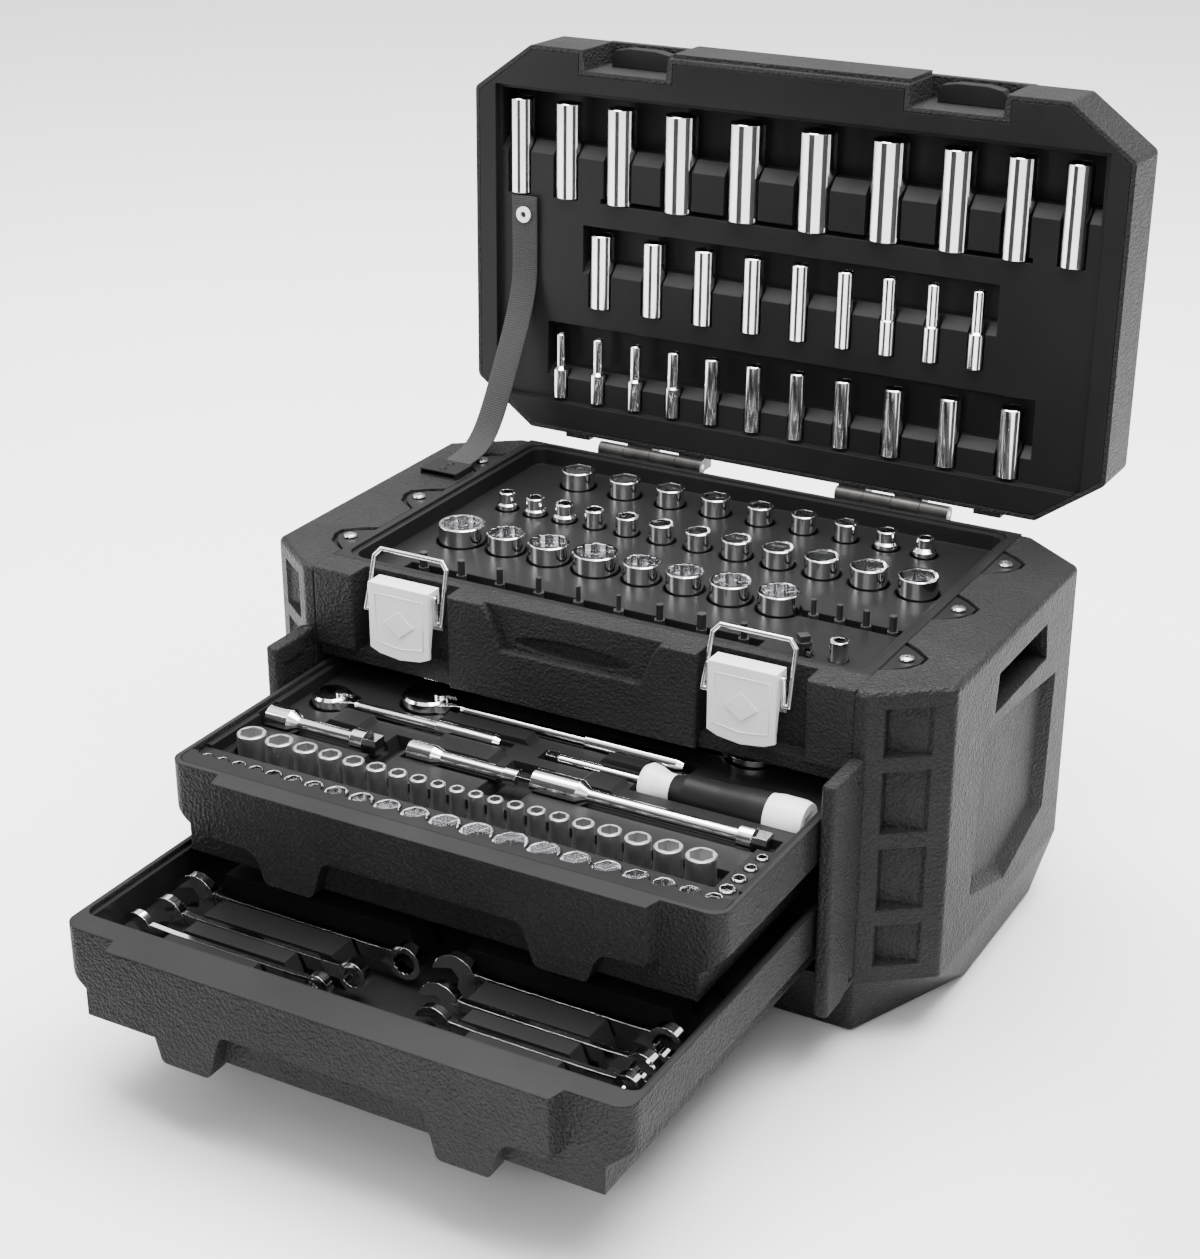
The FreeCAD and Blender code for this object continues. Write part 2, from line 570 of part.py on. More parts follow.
def selector(head_r, thick):
    """Reversing lever of a ratchet, on its own pivot behind the head's centre."""
    low = thick * 0.4 - 1.5
    high = thick / 2 + 2.0
    knob = Part.makeCylinder(head_r * 0.3, high - low, vec(head_r * SELECTOR_AT, 0, low))
    tail = prism_z([(head_r * SELECTOR_AT, -1.8), (head_r * 1.3, -1.2), (head_r * 1.3, 1.2),
                    (head_r * SELECTOR_AT, 1.8)], thick / 2 + 0.3, high)
    return fuse([knob, tail])


RATCHETS = {
    "quarter": dict(at=(-156.0, UPPER_Y + 129.5, DECK_Z + 1.5), length=137.0, head_r=12.5, thick=11.5,
                    drive=SMALL_DRIVE, turn=0.0),
    "three_eighths": dict(at=(-102.5, UPPER_Y + 158.5, DECK_Z + 0.5), length=198.0, head_r=16.5, thick=13.5,
                          drive=MID_DRIVE, turn=0.0),
    "half_inch": dict(at=(108.0, UPPER_Y + 194.0, DECK_Z - 2.0), length=255.0, head_r=18.0, thick=16.0,
                      drive=BIG_DRIVE, turn=180.0),
}
BARS = {
    "extension_short": ((-174.0, UPPER_Y + 91.0, DECK_Z + 2.0), 80.0, 17.0, MID_DRIVE),
    "extension_medium": ((-74.0, UPPER_Y + 95.5, DECK_Z + 2.0), 84.5, 13.0, SMALL_DRIVE),
    "extension_long": ((12.5, UPPER_Y + 96.5, DECK_Z + 2.0), 151.5, 17.0, MID_DRIVE),
}
SPINNER = (64.0, UPPER_Y + 133.0, DECK_Z - 1.0)
SHANK_R = 3.4            # spinner's steel shank


def spinner_parts():
    """Spinner handle along +X: steel shank, collar, grip and end cap."""
    x, y, z = SPINNER
    shank = placed(fuse([cyl(SHANK_R, (-57, 0, 0), (3, 0, 0)),
                         box(-65, -56, -3.175, 3.175, -3.175, 3.175)]), (x, y, z))
    collar = turned([(0, 0), (6, 0), (10.8, 1.5), (12.6, 5), (11.8, 10), (9.4, 16), (9.0, 21), (0, 21)])
    grip = turned([(0, 21.05), (9.0, 21.05), (11.6, 30), (11.2, 52), (12.6, 72), (12.8, 83), (0, 83)])
    cap = turned([(0, 83.05), (12.8, 83.05), (13.6, 90), (13.4, 103), (12.2, 107), (0, 107)])
    cap = cap.cut(prism_z(ngon(4, 12.0, 0, 0, math.pi / 4), 98, 108))
    collar = collar.cut(Part.makeCylinder(SHANK_R, 3.1, vec(0, 0, -0.05)))
    out = {"spinner_shank": shank}
    for name, solid in (("spinner_collar", collar), ("spinner_grip", grip), ("spinner_cap", cap)):
        out[name] = placed(solid, (x, y, z), (0, 1, 0), 90)
    return out


def trough(x0, x1, y0, y1, z0, z1=DECK_Z + 20):
    return box(x0, x1, y0, y1, z0, z1)


def wedge_block(x0, x1, y0, y1, z0, z1, bevel=5.0):
    """Raised holder block with both ends sloped."""
    return prism_y([(x0 - bevel, z0), (x0, z1), (x1, z1), (x1 + bevel, z0)], y0, y1)


def well(x0, x1, y0, y1, z0, z1, run=5.0):
    """Pocket with both ends sloped."""
    return prism_y([(x0 + run, z0), (x0, z1), (x1, z1), (x1 - run, z0)], y0, y1)


def upper_insert(short, grey):
    """Moulded insert of the upper drawer: front band, shelf, deck, troughs, blocks and socket seats."""
    rim = DRAWER_TOP["upper"]
    x = DRAWER_HALF - WALL - CLEAR
    y0 = UPPER_Y + BAND["upper"] + CLEAR
    y1 = UPPER_Y + DRAWER_DEPTH - WALL - CLEAR
    shelf_back = ROW_Y + 11.5
    side_back = UPPER_Y + 82.0
    split = UPPER_Y + 66.0
    low = DECK_Z - 24.5
    side_in = 163.0
    front = fuse([box(-x, x, y0, split, low, DECK_Z), box(-x, x, y0, shelf_back, DECK_Z - 1, SHELF_Z),
                  box(-x, x, y0, ROW_Y - 2.0, SHELF_Z - 1, rim - 0.2),
                  box(side_in - 10, x, split - 1, side_back, low, DECK_Z),
                  box(side_in, x, shelf_back - 1, side_back, DECK_Z - 1, SHELF_Z)])
    flare = rim - FLANGE_H + 1
    waist = x - TUB_INSET
    profile = [(-x, rim), (-x, flare), (-waist, flare - SHOULDER), (waist, flare - SHOULDER), (x, flare), (x, rim)]
    front = front.common(prism_y(profile, y0 - 1, side_back + 1))
    rear = box(-x, x, split - 0.01, y1, DECK_Z - 15.5, DECK_Z)
    ring = box(-x, x, shelf_back, y1, DECK_Z - 0.01, rim - 3.0)
    ring = ring.cut(rounded(-x + 4, x - 4, y0 - 20, y1 - 3, DECK_Z - 1, rim, 5))
    blocks = [
        wedge_block(-139, -119, UPPER_Y + 103, UPPER_Y + 121, DECK_Z - 1, DECK_Z + 4),
        wedge_block(-66, -26, UPPER_Y + 104, UPPER_Y + 121, DECK_Z - 1, DECK_Z + 4),
        wedge_block(-80, -20, UPPER_Y + 137.5, UPPER_Y + 149.5, DECK_Z - 1, DECK_Z + 4),
        wedge_block(36, 56, UPPER_Y + 107, UPPER_Y + 125, DECK_Z - 1, DECK_Z + 3),
        wedge_block(34, 60, UPPER_Y + 140.5, UPPER_Y + 149.5, DECK_Z - 1, DECK_Z + 4),
    ]
    body = fuse([front, rear, ring] + blocks)
    body = body.common(rounded(-x, x, y0, y1, low - 1, rim + 1, 11.0 - WALL - CLEAR))
    seats = []
    for sx, sy, od, _ in short:
        seats.append(Part.makeCylinder(od / 2 + CLEAR, 30, vec(sx, sy, SHELF_Z + SHORT_PROUD - SHORT_LEN)))
        seats.append(Part.makeCylinder(od / 2 + 1.6, 10, vec(sx, sy, SHELF_Z)))
    for sx, sy, od, _ in grey:
        seats.append(Part.makeCylinder(od / 2 + CLEAR, 30, vec(sx, sy, DECK_Z - GREY_SEAT)))
        seats.append(Part.makeCylinder(od / 2 + 2.2, 30, vec(sx, sy, TRENCH_Z)))
    seats.append(well(-172, 158, ROW_Y + 14.5, ROW_Y + 40.0, TRENCH_Z, DECK_Z + 2, 6.0))
    seats += [well(-98, -78, UPPER_Y + 71, UPPER_Y + 112, DECK_Z - 10, DECK_Z + 8),
              well(-18, 16, UPPER_Y + 72, UPPER_Y + 118, DECK_Z - 10, DECK_Z + 8)]
    troughs = []
    for (bx, by, bz), length, od, _ in BARS.values():
        troughs.append(trough(bx - 4, bx + length + 4, by - od / 2 - 1, by + od / 2 + 1, bz - od / 2))
    for item in RATCHETS.values():
        rx, ry, rz = item["at"]
        r, t = item["head_r"], item["thick"]
        sign = -1 if item["turn"] else 1
        troughs.append(Part.makeCylinder(r + 2, 40, vec(rx, ry, rz - t / 2)))
        ends = sorted((rx, rx + sign * (item["length"] - r + 6)))
        troughs.append(trough(ends[0], ends[1], ry - t * 0.42 - 2, ry + t * 0.42 + 2, rz - t * 0.42))
        neck = sorted((rx, rx + sign * r * 1.7))
        troughs.append(trough(neck[0], neck[1], ry - r * 0.64, ry + r * 0.64, rz - t * 0.42))
        half = item["drive"] / 2 + CLEAR
        troughs.append(box(rx - half, rx + half, ry - half, ry + half, rz - t / 2 - item["drive"] - 0.3, rz))
    sx, sy, sz = SPINNER
    troughs.append(trough(sx - 69, sx + 2, sy - 6, sy + 6, sz - 5))
    troughs.append(trough(sx - 2, sx + 110, sy - 14.6, sy + 14.6, sz - 14.2))
    return cut(body, seats + troughs)


# ---------------------------------------------------------------- combination wrenches
WRENCHES = {
    "wrenches_left": [(-168.0, 172.0, 12.7), (-167.0, 152.0, 11.1), (-172.0, 145.0, 9.5),
                      (-170.0, 132.0, 8.7)],
    "wrenches_right": [(12.0, 158.0, 13.0), (20.0, 149.0, 12.0), (30.0, 139.0, 10.0), (43.0, 126.0, 8.0)],
}
WRENCH_Y = [LOWER_Y + d for d in (86.0, 59.5, 40.5, 22.5)]
WRENCH_Z = 91.5
LOWER_DECK_Z = 76.0
BLOCK_GAP = 3.4          # from a wrench's middle plane to the blocks beside it


def wrench(length, flats):
    """Combination wrench on edge in the XZ plane: open jaw at the left, ring at the right."""
    thick = 0.32 * flats + 2.0
    jaw_r, ring_r = flats * 1.12, flats * 0.82
    shank_h = flats * 0.36 + 0.8
    jaw_x, ring_x = jaw_r, length - ring_r
    upper = [(jaw_x, shank_h + 1.4), (jaw_x + 26, shank_h), (ring_x - 18, shank_h - 0.6), (ring_x, shank_h)]
    shank = upper + [(u, -w) for u, w in reversed(upper)]
    half = thick / 2
    body = fuse([prism_y(shank, -half * 0.7, half * 0.7),
                 cyl(jaw_r, (jaw_x, -half, 0), (jaw_x, half, 0)),
                 cyl(ring_r, (ring_x, -half * 1.2, 0), (ring_x, half * 1.2, 0))])
    lean = math.radians(15)
    gap = flats / 2
    mouth = []
    for u, w in ((0, -gap), (-jaw_r * 1.4, -gap), (-jaw_r * 1.4, gap), (0, gap), (gap * 0.55, 0)):
        mouth.append((jaw_x + u * math.cos(lean) - w * math.sin(lean),
                      u * math.sin(lean) + w * math.cos(lean)))
    opening = prism_y(mouth, -10, 10)
    star = [prism_y([(ring_x + p, q) for p, q in ngon(6, flats, 0, 0, t)], -10, 10)
            for t in (0.0, math.pi / 6)]
    return cut(body, [opening] + star)


def wrench_group(name):
    out = []
    for (x, length, flats), y in zip(WRENCHES[name], WRENCH_Y):
        out.append(placed(wrench(length, flats), (x, y, WRENCH_Z)))
    return out


def lower_insert():
    x = DRAWER_HALF - WALL - CLEAR
    y0 = LOWER_Y + BAND["lower"] + CLEAR
    y1 = LOWER_Y + DRAWER_DEPTH - WALL - CLEAR
    z0 = LOWER_DECK_Z - 3.0
    floor = box(-x + TUB_INSET, x - TUB_INSET, y0, y1, z0, LOWER_DECK_Z)
    foot = x - TUB_INSET - 0.01
    top = DRAWER_TOP["lower"] - 3
    side = [(foot, z0), (foot, LOWER_DECK_Z), (x - 3, LOWER_DECK_Z + 10), (x - 3, top), (x, top), (x, z0 + 12)]
    sides = both_sides([prism_y(side, y0, y1)])
    blocks = []
    for rows in WRENCHES.values():
        for (wx, length, _), y_back, y_front in zip(rows, WRENCH_Y, WRENCH_Y[1:]):
            blocks.append(wedge_block(wx + 36, wx + length - 46, y_front + BLOCK_GAP, y_back - BLOCK_GAP,
                                      LOWER_DECK_Z - 1, WRENCH_Z + 5, 9.0))
    rests = []
    for rows in WRENCHES.values():
        for (wx, length, flats), y in zip(rows, WRENCH_Y):
            shank_h = flats * 0.36 + 0.8
            rests.append(box(wx + length * 0.4, wx + length * 0.6, y - 4, y + 4,
                             LOWER_DECK_Z - 1, WRENCH_Z - shank_h))
    rear = [wedge_block(-150, -20, LOWER_Y + 108, LOWER_Y + 128, LOWER_DECK_Z - 1, WRENCH_Z + 4, 8.0),
            wedge_block(20, 150, LOWER_Y + 108, LOWER_Y + 128, LOWER_DECK_Z - 1, WRENCH_Z + 4, 8.0),
            wedge_block(-150, 150, LOWER_Y + 160, LOWER_Y + 200, LOWER_DECK_Z - 1, WRENCH_Z + 4, 8.0)]
    corners = rounded(-x, x, y0, y1, z0 - 1, top + 1, 11.0 - WALL - CLEAR)
    return fuse([floor] + sides + blocks + rests + rear).common(corners)


# ---------------------------------------------------------------- lid, built closed then turned open
LID_FRONT = 277.5        # lid's front face from the hinge axis
LID_CORNER_HALF = 190.7  # where the lid's corner chamfers start
LID_DECK = 6.0           # liner's deck behind the rim plane
NOTCH_WALL = 263.6       # back of the two latch notches
LID_ROUND = 5.0          # rounding of the lid's outer edges
NOTCH_DEEP = 40.0
CATCH_W = (24.8, 33.5)   # near and far side of the catch above the hinge axis level
LID_ROWS = {
    "lid_sockets_top": dict(span=(-203.0, 198.1), start=174.0, length=65.6, trough=(203.0, 211.0, 246.0),
                            od=[17.2, 18.6, 20.6, 22.8, 24.3, 25.0, 24.2, 21.8, 19.1, 17.6], extra=0.0),
    "lid_sockets_middle": dict(span=(-138.4, 139.5), start=99.5, length=52.0, trough=(123.0, 131.0, 157.0),
                               od=[16.8, 15.7, 14.7, 13.6, 12.4, 11.2, 9.6, 8.8, 8.0], extra=6.0),
    "lid_sockets_bottom": dict(span=(-169.4, 166.6), start=30.0, length=47.0, trough=(45.0, 52.0, 85.0),
                               od=[6.4, 7.2, 7.8, 8.8, 10.8, 12.0, 11.6, 12.4, 13.8, 14.4, 16.3], extra=0.0),
}
LEAST_BASE = 10.8        # smallest drive end of a deep socket
SOCKET_PROUD = 1.5       # deep sockets' nearest side from the hinge axis plane
EYELET = (-197.4, 159.7)
EYELET_BORE = 2.2


def lid_box(u0, u1, v0, v1, w0, w1):
    return box(u0, u1, HINGE_Y - v1, HINGE_Y - v0, HINGE_Z + w0, HINGE_Z + w1)


def lid_prism(points, w0, w1):
    return prism_z([(u, HINGE_Y - v) for u, v in points], HINGE_Z + w0, HINGE_Z + w1)


def opened(shape):
    out = shape.copy()
    out.rotate(vec(0, HINGE_Y, HINGE_Z), vec(1, 0, 0), -LID_OPEN)
    return out


def lid_outline(inset=0.0):
    run = CORNER_Y - inset * 0.3
    u, c = HALF_W - inset, LID_CORNER_HALF - inset * 0.4
    v0, v1 = LID_BACK + inset, LID_FRONT - inset
    right = [(c, v0), (u, v0 + run), (u, v1 - run), (c, v1)]
    return right + [(-a, b) for a, b in reversed(right)]


def lid_shell():
    outer = lid_prism(lid_outline(), RIM_GAP, LID_T)
    outer = softened(outer, LID_ROUND, lambda b: b.ZMax > HINGE_Z + LID_T - 0.1)
    hollow = lid_prism(lid_outline(WALL), RIM_GAP - 1, LID_T - WALL)
    pads = both_sides([lid_box(82.4, 153.0, NOTCH_WALL - 3, LID_FRONT - 0.2, RIM_GAP, LID_T - 1)])
    brow = lid_box(-84.0, 84.0, LID_FRONT - 1, LID_FRONT + 2.8, 5.0, LID_T - 6)
    stops = [lid_box(a, b, LID_BACK - 3, LID_BACK + 1, 1, 9) for a, b in ((-162, -143), (148, 167))]
    notch = [(85.4, LID_FRONT + 1), (87.0, NOTCH_WALL), (148.2, NOTCH_WALL), (149.8, LID_FRONT + 1)]
    shell = fuse([outer.cut(hollow)] + pads + [brow] + stops)
    return cut(shell, both_sides([lid_prism(notch, -1, NOTCH_DEEP)]))


def lid_catches():
    v0, v1 = NOTCH_WALL, LID_FRONT - 0.8
    half = [(22.8, v0), (22.8, v1 - 5), (20.5, v1 - 1.8), (10, v1)]
    outline = [(LATCH_X + u, v) for u, v in half] + [(LATCH_X - u, v) for u, v in reversed(half)]
    hood = lid_prism(outline, *CATCH_W)
    hollow = lid_box(LATCH_X - 19, LATCH_X + 19, v0 - 1, v1 - 7, CATCH_W[0] + 3, CATCH_W[1] + 1)
    return both_sides([hood.cut(hollow)])


def lid_row(row):
    """Deep sockets of one row, lying along the lid: [(u, largest od, solid)]."""
    ods = row["od"]
    bases = [max(od, LEAST_BASE) for od in ods]
    out = []
    for u, od, base in zip(spread(*row["span"], bases, row["extra"]), ods, bases):
        solid = socket(od, row["length"], flats_for(od), min(SMALL_DRIVE, base * 0.6), 6, base)
        centre = (u, HINGE_Y - row["start"], HINGE_Z + SOCKET_PROUD + base / 2)
        out.append((u, base, placed(solid, centre, (1, 0, 0), 90)))
    return out


def lid_liner(rows):
    deck = LID_DECK
    plate = lid_prism(lid_outline(WALL + 0.3), RIM_GAP, RIM_GAP + 3)
    shapes = [plate, lid_box(-221.5, 221.5, 40.0, 251.5, RIM_GAP, deck + 2.5)]
    cuts = [lid_box(-219, 219, 28, 249, -1, deck)]
    shapes.append(lid_box(-221.5, 221.5, 25.5, 60, RIM_GAP, deck + 2.5))
    for name, row in LID_ROWS.items():
        sockets = rows[name]
        deep = max(base for _, base, _ in sockets) + SOCKET_PROUD + 0.8
        u0 = sockets[0][0] - sockets[0][1] / 2 - 5
        u1 = sockets[-1][0] + sockets[-1][1] / 2 + 8
        slope, flat, end = row["trough"]
        shapes.append(lid_box(u0 - 2.5, u1 + 2.5, row["start"] - 4, end + 2.5, RIM_GAP, deep + 2.5))
        side = [(slope, deck - 0.1), (flat, deck + 8), (flat, deep), (end, deep), (end, deck - 0.1)]
        cuts.append(prism_x([(HINGE_Y - v, HINGE_Z + w) for v, w in side], u0, u1))
        for u, base, _ in sockets:
            half = base / 2 + 0.6
            reach = SOCKET_PROUD + base + 0.4
            cuts.append(lid_box(u - half, u + half, row["start"] - 0.5, end - 1, -1, reach))
    top_row = rows["lid_sockets_top"]
    run = (top_row[2][0] - 13, top_row[8][0] + 13)
    start = LID_ROWS["lid_sockets_top"]["start"]
    cuts.append(lid_box(*run, start - 0.5, start + 3.0, -1, deck + 9))
    shapes += [cyl(4, lid_at(u, v, RIM_GAP + 1), lid_at(u, v, LID_T - WALL))
               for u in (-205, 205) for v in (60, 130)]
    cuts += both_sides([lid_box(82.0, 153.4, NOTCH_WALL - 3.4, LID_FRONT + 1, -1, LID_T)])
    cuts.append(cyl(3.0, lid_at(*EYELET, -1), lid_at(*EYELET, deck + 4)))
    room = lid_prism(lid_outline(WALL + 0.3), RIM_GAP, LID_T - WALL)
    return cut(fuse(shapes).common(room), cuts)


def lid_at(u, v, w):
    return (u, HINGE_Y - v, HINGE_Z + w)


def strap_eyelet():
    flange = cyl(5.6, lid_at(*EYELET, 1.0), lid_at(*EYELET, 2.4))
    shank = cyl(2.9, lid_at(*EYELET, 2.3), lid_at(*EYELET, LID_DECK + 3.5))
    back = cyl(5.0, lid_at(*EYELET, LID_DECK + 2.6), lid_at(*EYELET, LID_DECK + 4.2))
    return fuse([flange, shank, back]).cut(cyl(EYELET_BORE, lid_at(*EYELET, 0), lid_at(*EYELET, 12)))


def band(points, thickness):
    """Outline of a strip of constant thickness along a bent centre line."""
    normals = []
    for (a, b), (c, d) in zip(points, points[1:]):
        length = math.hypot(c - a, d - b)
        normals.append(((b - d) / length, (c - a) / length))
    left, right = [], []
    for i, (a, b) in enumerate(points):
        near = normals[max(i - 1, 0)], normals[min(i, len(normals) - 1)]
        nx, ny = (near[0][0] + near[1][0]) / 2, (near[0][1] + near[1][1]) / 2
        scale = thickness / 2 / (nx * nx + ny * ny)
        left.append((a + nx * scale, b + ny * scale))
        right.append((a - nx * scale, b - ny * scale))
    return left + right[::-1]


CLIP_X = -203.0
CLIP_Y = (38.0, 60.0)


def strap():
    """Webbing from the eyelet on the lid to the clip on the left cap, slack taken up."""
    lean = math.radians(LID_OPEN - 90)
    top = []
    for v in (EYELET[1] + 12, EYELET[1] - 14, EYELET[1] - 42):
        w = 3.9
        top.append((HINGE_Y + w * math.cos(lean) + v * math.sin(lean), HINGE_Z + v * math.cos(lean)))
    low = HEIGHT + 1.6
    path = top + [(104.0, low + 37.4), (72.0, low + 6), (60.0, low + 0.6), (46.0, low)]
    centre = (EYELET[0] + CLIP_X) / 2
    shape = prism_x(band(path, STRAP_T), centre - STRAP_W / 2, centre + STRAP_W / 2)
    level = HINGE_Z + EYELET[1]
    hole = cyl(3.6, (EYELET[0], HINGE_Y - 5, level), (EYELET[0], HINGE_Y + 25, level))
    return shape.cut(hole)


def strap_clip():
    y0, y1 = CLIP_Y
    half = STRAP_W / 2 + 4.5
    loop = box(CLIP_X - half, CLIP_X + half, y0, y1, HEIGHT, HEIGHT + 4.4)
    slot = box(CLIP_X - half + 1.2, CLIP_X + half - 1.2, y0 - 1, y1 + 1, HEIGHT + 0.5, HEIGHT + 3.4)
    return loop.cut(slot)


def clip_rivets():
    y0, y1 = CLIP_Y
    return [turned_at([(0, 0), (2.6, 0), (2.4, 0.8), (0, 1.1)], CLIP_X, y, HEIGHT + 4.4)
            for y in (y0 + 6, y1 - 6)]


def turned_at(profile, x, y, z):
    return placed(turned(profile), (x, y, z))


# ---------------------------------------------------------------- hinges
KNUCKLE = 20.4
HINGE_START = (-132.6, 50.7)
KNUCKLE_R = 5.0


def hinge_leaves():
    """Box-side and lid-side leaves; knuckles take turns along each pin."""
    fixed, moving = [], []
    for side, start in enumerate(HINGE_START):
        for k in range(4):
            x0 = start + KNUCKLE * k + 0.15
            x1 = x0 + KNUCKLE - 0.3
            axis = ((x0, HINGE_Y, HINGE_Z), (x1, HINGE_Y, HINGE_Z))
            longer = ((x0 - 1, HINGE_Y, HINGE_Z), (x1 + 1, HINGE_Y, HINGE_Z))
            if (k + side) % 2 == 0:
                leaf = box(x0, x1, HALF_D, HINGE_Y + 3.6, HEIGHT - 14, HINGE_Z - 2)
                fixed.append(fuse([cyl(KNUCKLE_R, *axis), leaf]).cut(cyl(PIN_R, *longer)))
            else:
                leaf = lid_box(x0, x1, -3.6, LID_BACK, RIM_GAP + 1, 13)
                moving.append(fuse([cyl(KNUCKLE_R, *axis), leaf]).cut(cyl(PIN_R + PIN_FIT, *longer)))
    return fixed, moving


def hinge_pins():
    return [cyl(PIN_R, (start + 0.2, HINGE_Y, HINGE_Z), (start + 4 * KNUCKLE - 0.2, HINGE_Y, HINGE_Z))
            for start in HINGE_START]


# ---------------------------------------------------------------- lock flaps
EAR_Z = ((50.0, 56.0), (180.0, 186.0))


def flap():
    """Right lock flap, swung open to the front; it shuts over the drawers' right ends."""
    px, py = FLAP_PIN
    z0, z1 = FLAP_Z
    half = FLAP_T / 2
    body = rounded(px - half, px + half, py - FLAP_LEN, py, z0, z1, 3.2)
    body = softened(body, 2.0, lambda b: b.ZMin > z1 - 0.1 or b.ZMax < z0 + 0.1)
    barrel = cyl(half - 0.2, (px, py, z0 + 4.5), (px, py, z1 - 0.6))
    cuts = [prism_x([(py - 22, z0 - 1), (py - 12, z0 + 4.5), (py + 9, z0 + 4.5), (py + 9, z0 - 1)],
                    px - 9, px + 9)]
    for a, b in EAR_Z:
        cuts.append(box(px - 9, px + 9, py - 6.6, py + 9, a - 0.5, b + 0.5))
    cuts.append(cyl(PIN_R + PIN_FIT, (px, py, z0 - 5), (px, py, z1 + 5)))
    cuts.append(rounded(px - half - 1, px - half + 1.6, py - FLAP_LEN + 6, py - 9, z0 + 12, z1 - 12, 1.0))
    return cut(fuse([body, barrel]), cuts)


def flap_ears():
    px, py = FLAP_PIN
    out = []
    for a, b in EAR_Z:
        ear = fuse([cyl(4.2, (px, py, a), (px, py, b)), box(px - 3.2, px + 2.8, py, FRONT_Y, a, b)])
        out.append(ear.cut(cyl(PIN_R, (px, py, a - 1), (px, py, b + 1))))
    return both_sides(out)


def flap_pins():
    px, py = FLAP_PIN
    return both_sides([cyl(PIN_R, (px, py, FLAP_Z[0] + 5), (px, py, FLAP_Z[1] - 1))])


# ---------------------------------------------------------------- latches
LATCH_PIN_R = 1.8
FLANGE_IN = 20.3


def latch_lever():
    """Right-hand lever plate with its top, two cheeks and a raised diamond."""
    h = HEIGHT
    face = [(-LEVER_HALF, h + 1), (-LEVER_HALF, h - 43), (-15, h - 46), (0, h - 48), (15, h - 46),
            (LEVER_HALF, h - 43), (LEVER_HALF, h + 1)]
    plate = prism_y(face, -140.5, -138.5)
    top = box(-LEVER_HALF, LEVER_HALF, -138.6, -127.5, h - 1, h + 1)
    cheek = [(-138.6, h - 0.5), (-127.5, h - 0.5), (-127.5, h - 8), (-134, h - 14), (-138.6, h - 38)]
    cheeks = [prism_x(cheek, FLANGE_IN, LEVER_HALF), prism_x(cheek, -LEVER_HALF, -FLANGE_IN)]
    badge = prism_y([(-11, h - 24), (0, h - 33), (11, h - 24), (0, h - 15)], -141.3, -140.4)
    holes = [cyl(LATCH_PIN_R + PIN_FIT, (-40, *LATCH_PIN), (40, *LATCH_PIN)),
             cyl(BAIL_R + PIN_FIT, (-40, *BAIL_PIVOT), (40, *BAIL_PIVOT))]
    return placed(cut(fuse([plate, top, badge] + cheeks), holes), (LATCH_X, 0, 0))


def latch_bail():
    """Wire bail: stubs through the lever's cheeks, hairpins, then up and over."""
    py, pz = BAIL_PIVOT
    low = HEIGHT - 20.0
    half = [(19.4, py, pz), (24.1, py, pz), (24.1, -135.0, low), (27.7, -135.0, low),
            (26.6, -125.3, HEIGHT + 12.5), (22.5, -124.0, HEIGHT + 17.0)]
    path = half + [(-x, y, z) for x, y, z in reversed(half)]
    pieces = [cyl(BAIL_R, a, b) for a, b in zip(path, path[1:])]
    pieces += [Part.makeSphere(BAIL_R, vec(*p)) for p in path[1:-1]]
    return placed(fuse(pieces), (LATCH_X, 0, 0))


def latch_brackets():
    y, z = LATCH_PIN
    arm = [(y - 2.9, z - 0.5), (y + 2.8, z - 0.5), (y + 2.8, z - 5), (RECESS_BACK, z - 9),
           (RECESS_BACK, z - 27), (y - 2.9, z - 4)]
    ears = [fuse([prism_x(arm, a, a + 2), cyl(3.2, (a, y, z), (a + 2, y, z))]) for a in (-19, 17)]
    plate = box(-19, 19, RECESS_BACK - 1.5, RECESS_BACK, z - 27, z - 9)
    bore = cyl(LATCH_PIN_R, (-30, y, z), (30, y, z))
    return both_sides([placed(cut(fuse(ears + [plate]), [bore]), (LATCH_X, 0, 0))])


def latch_pins():
    y, z = LATCH_PIN
    return both_sides([cyl(LATCH_PIN_R, (LATCH_X - 22, y, z), (LATCH_X + 22, y, z))])


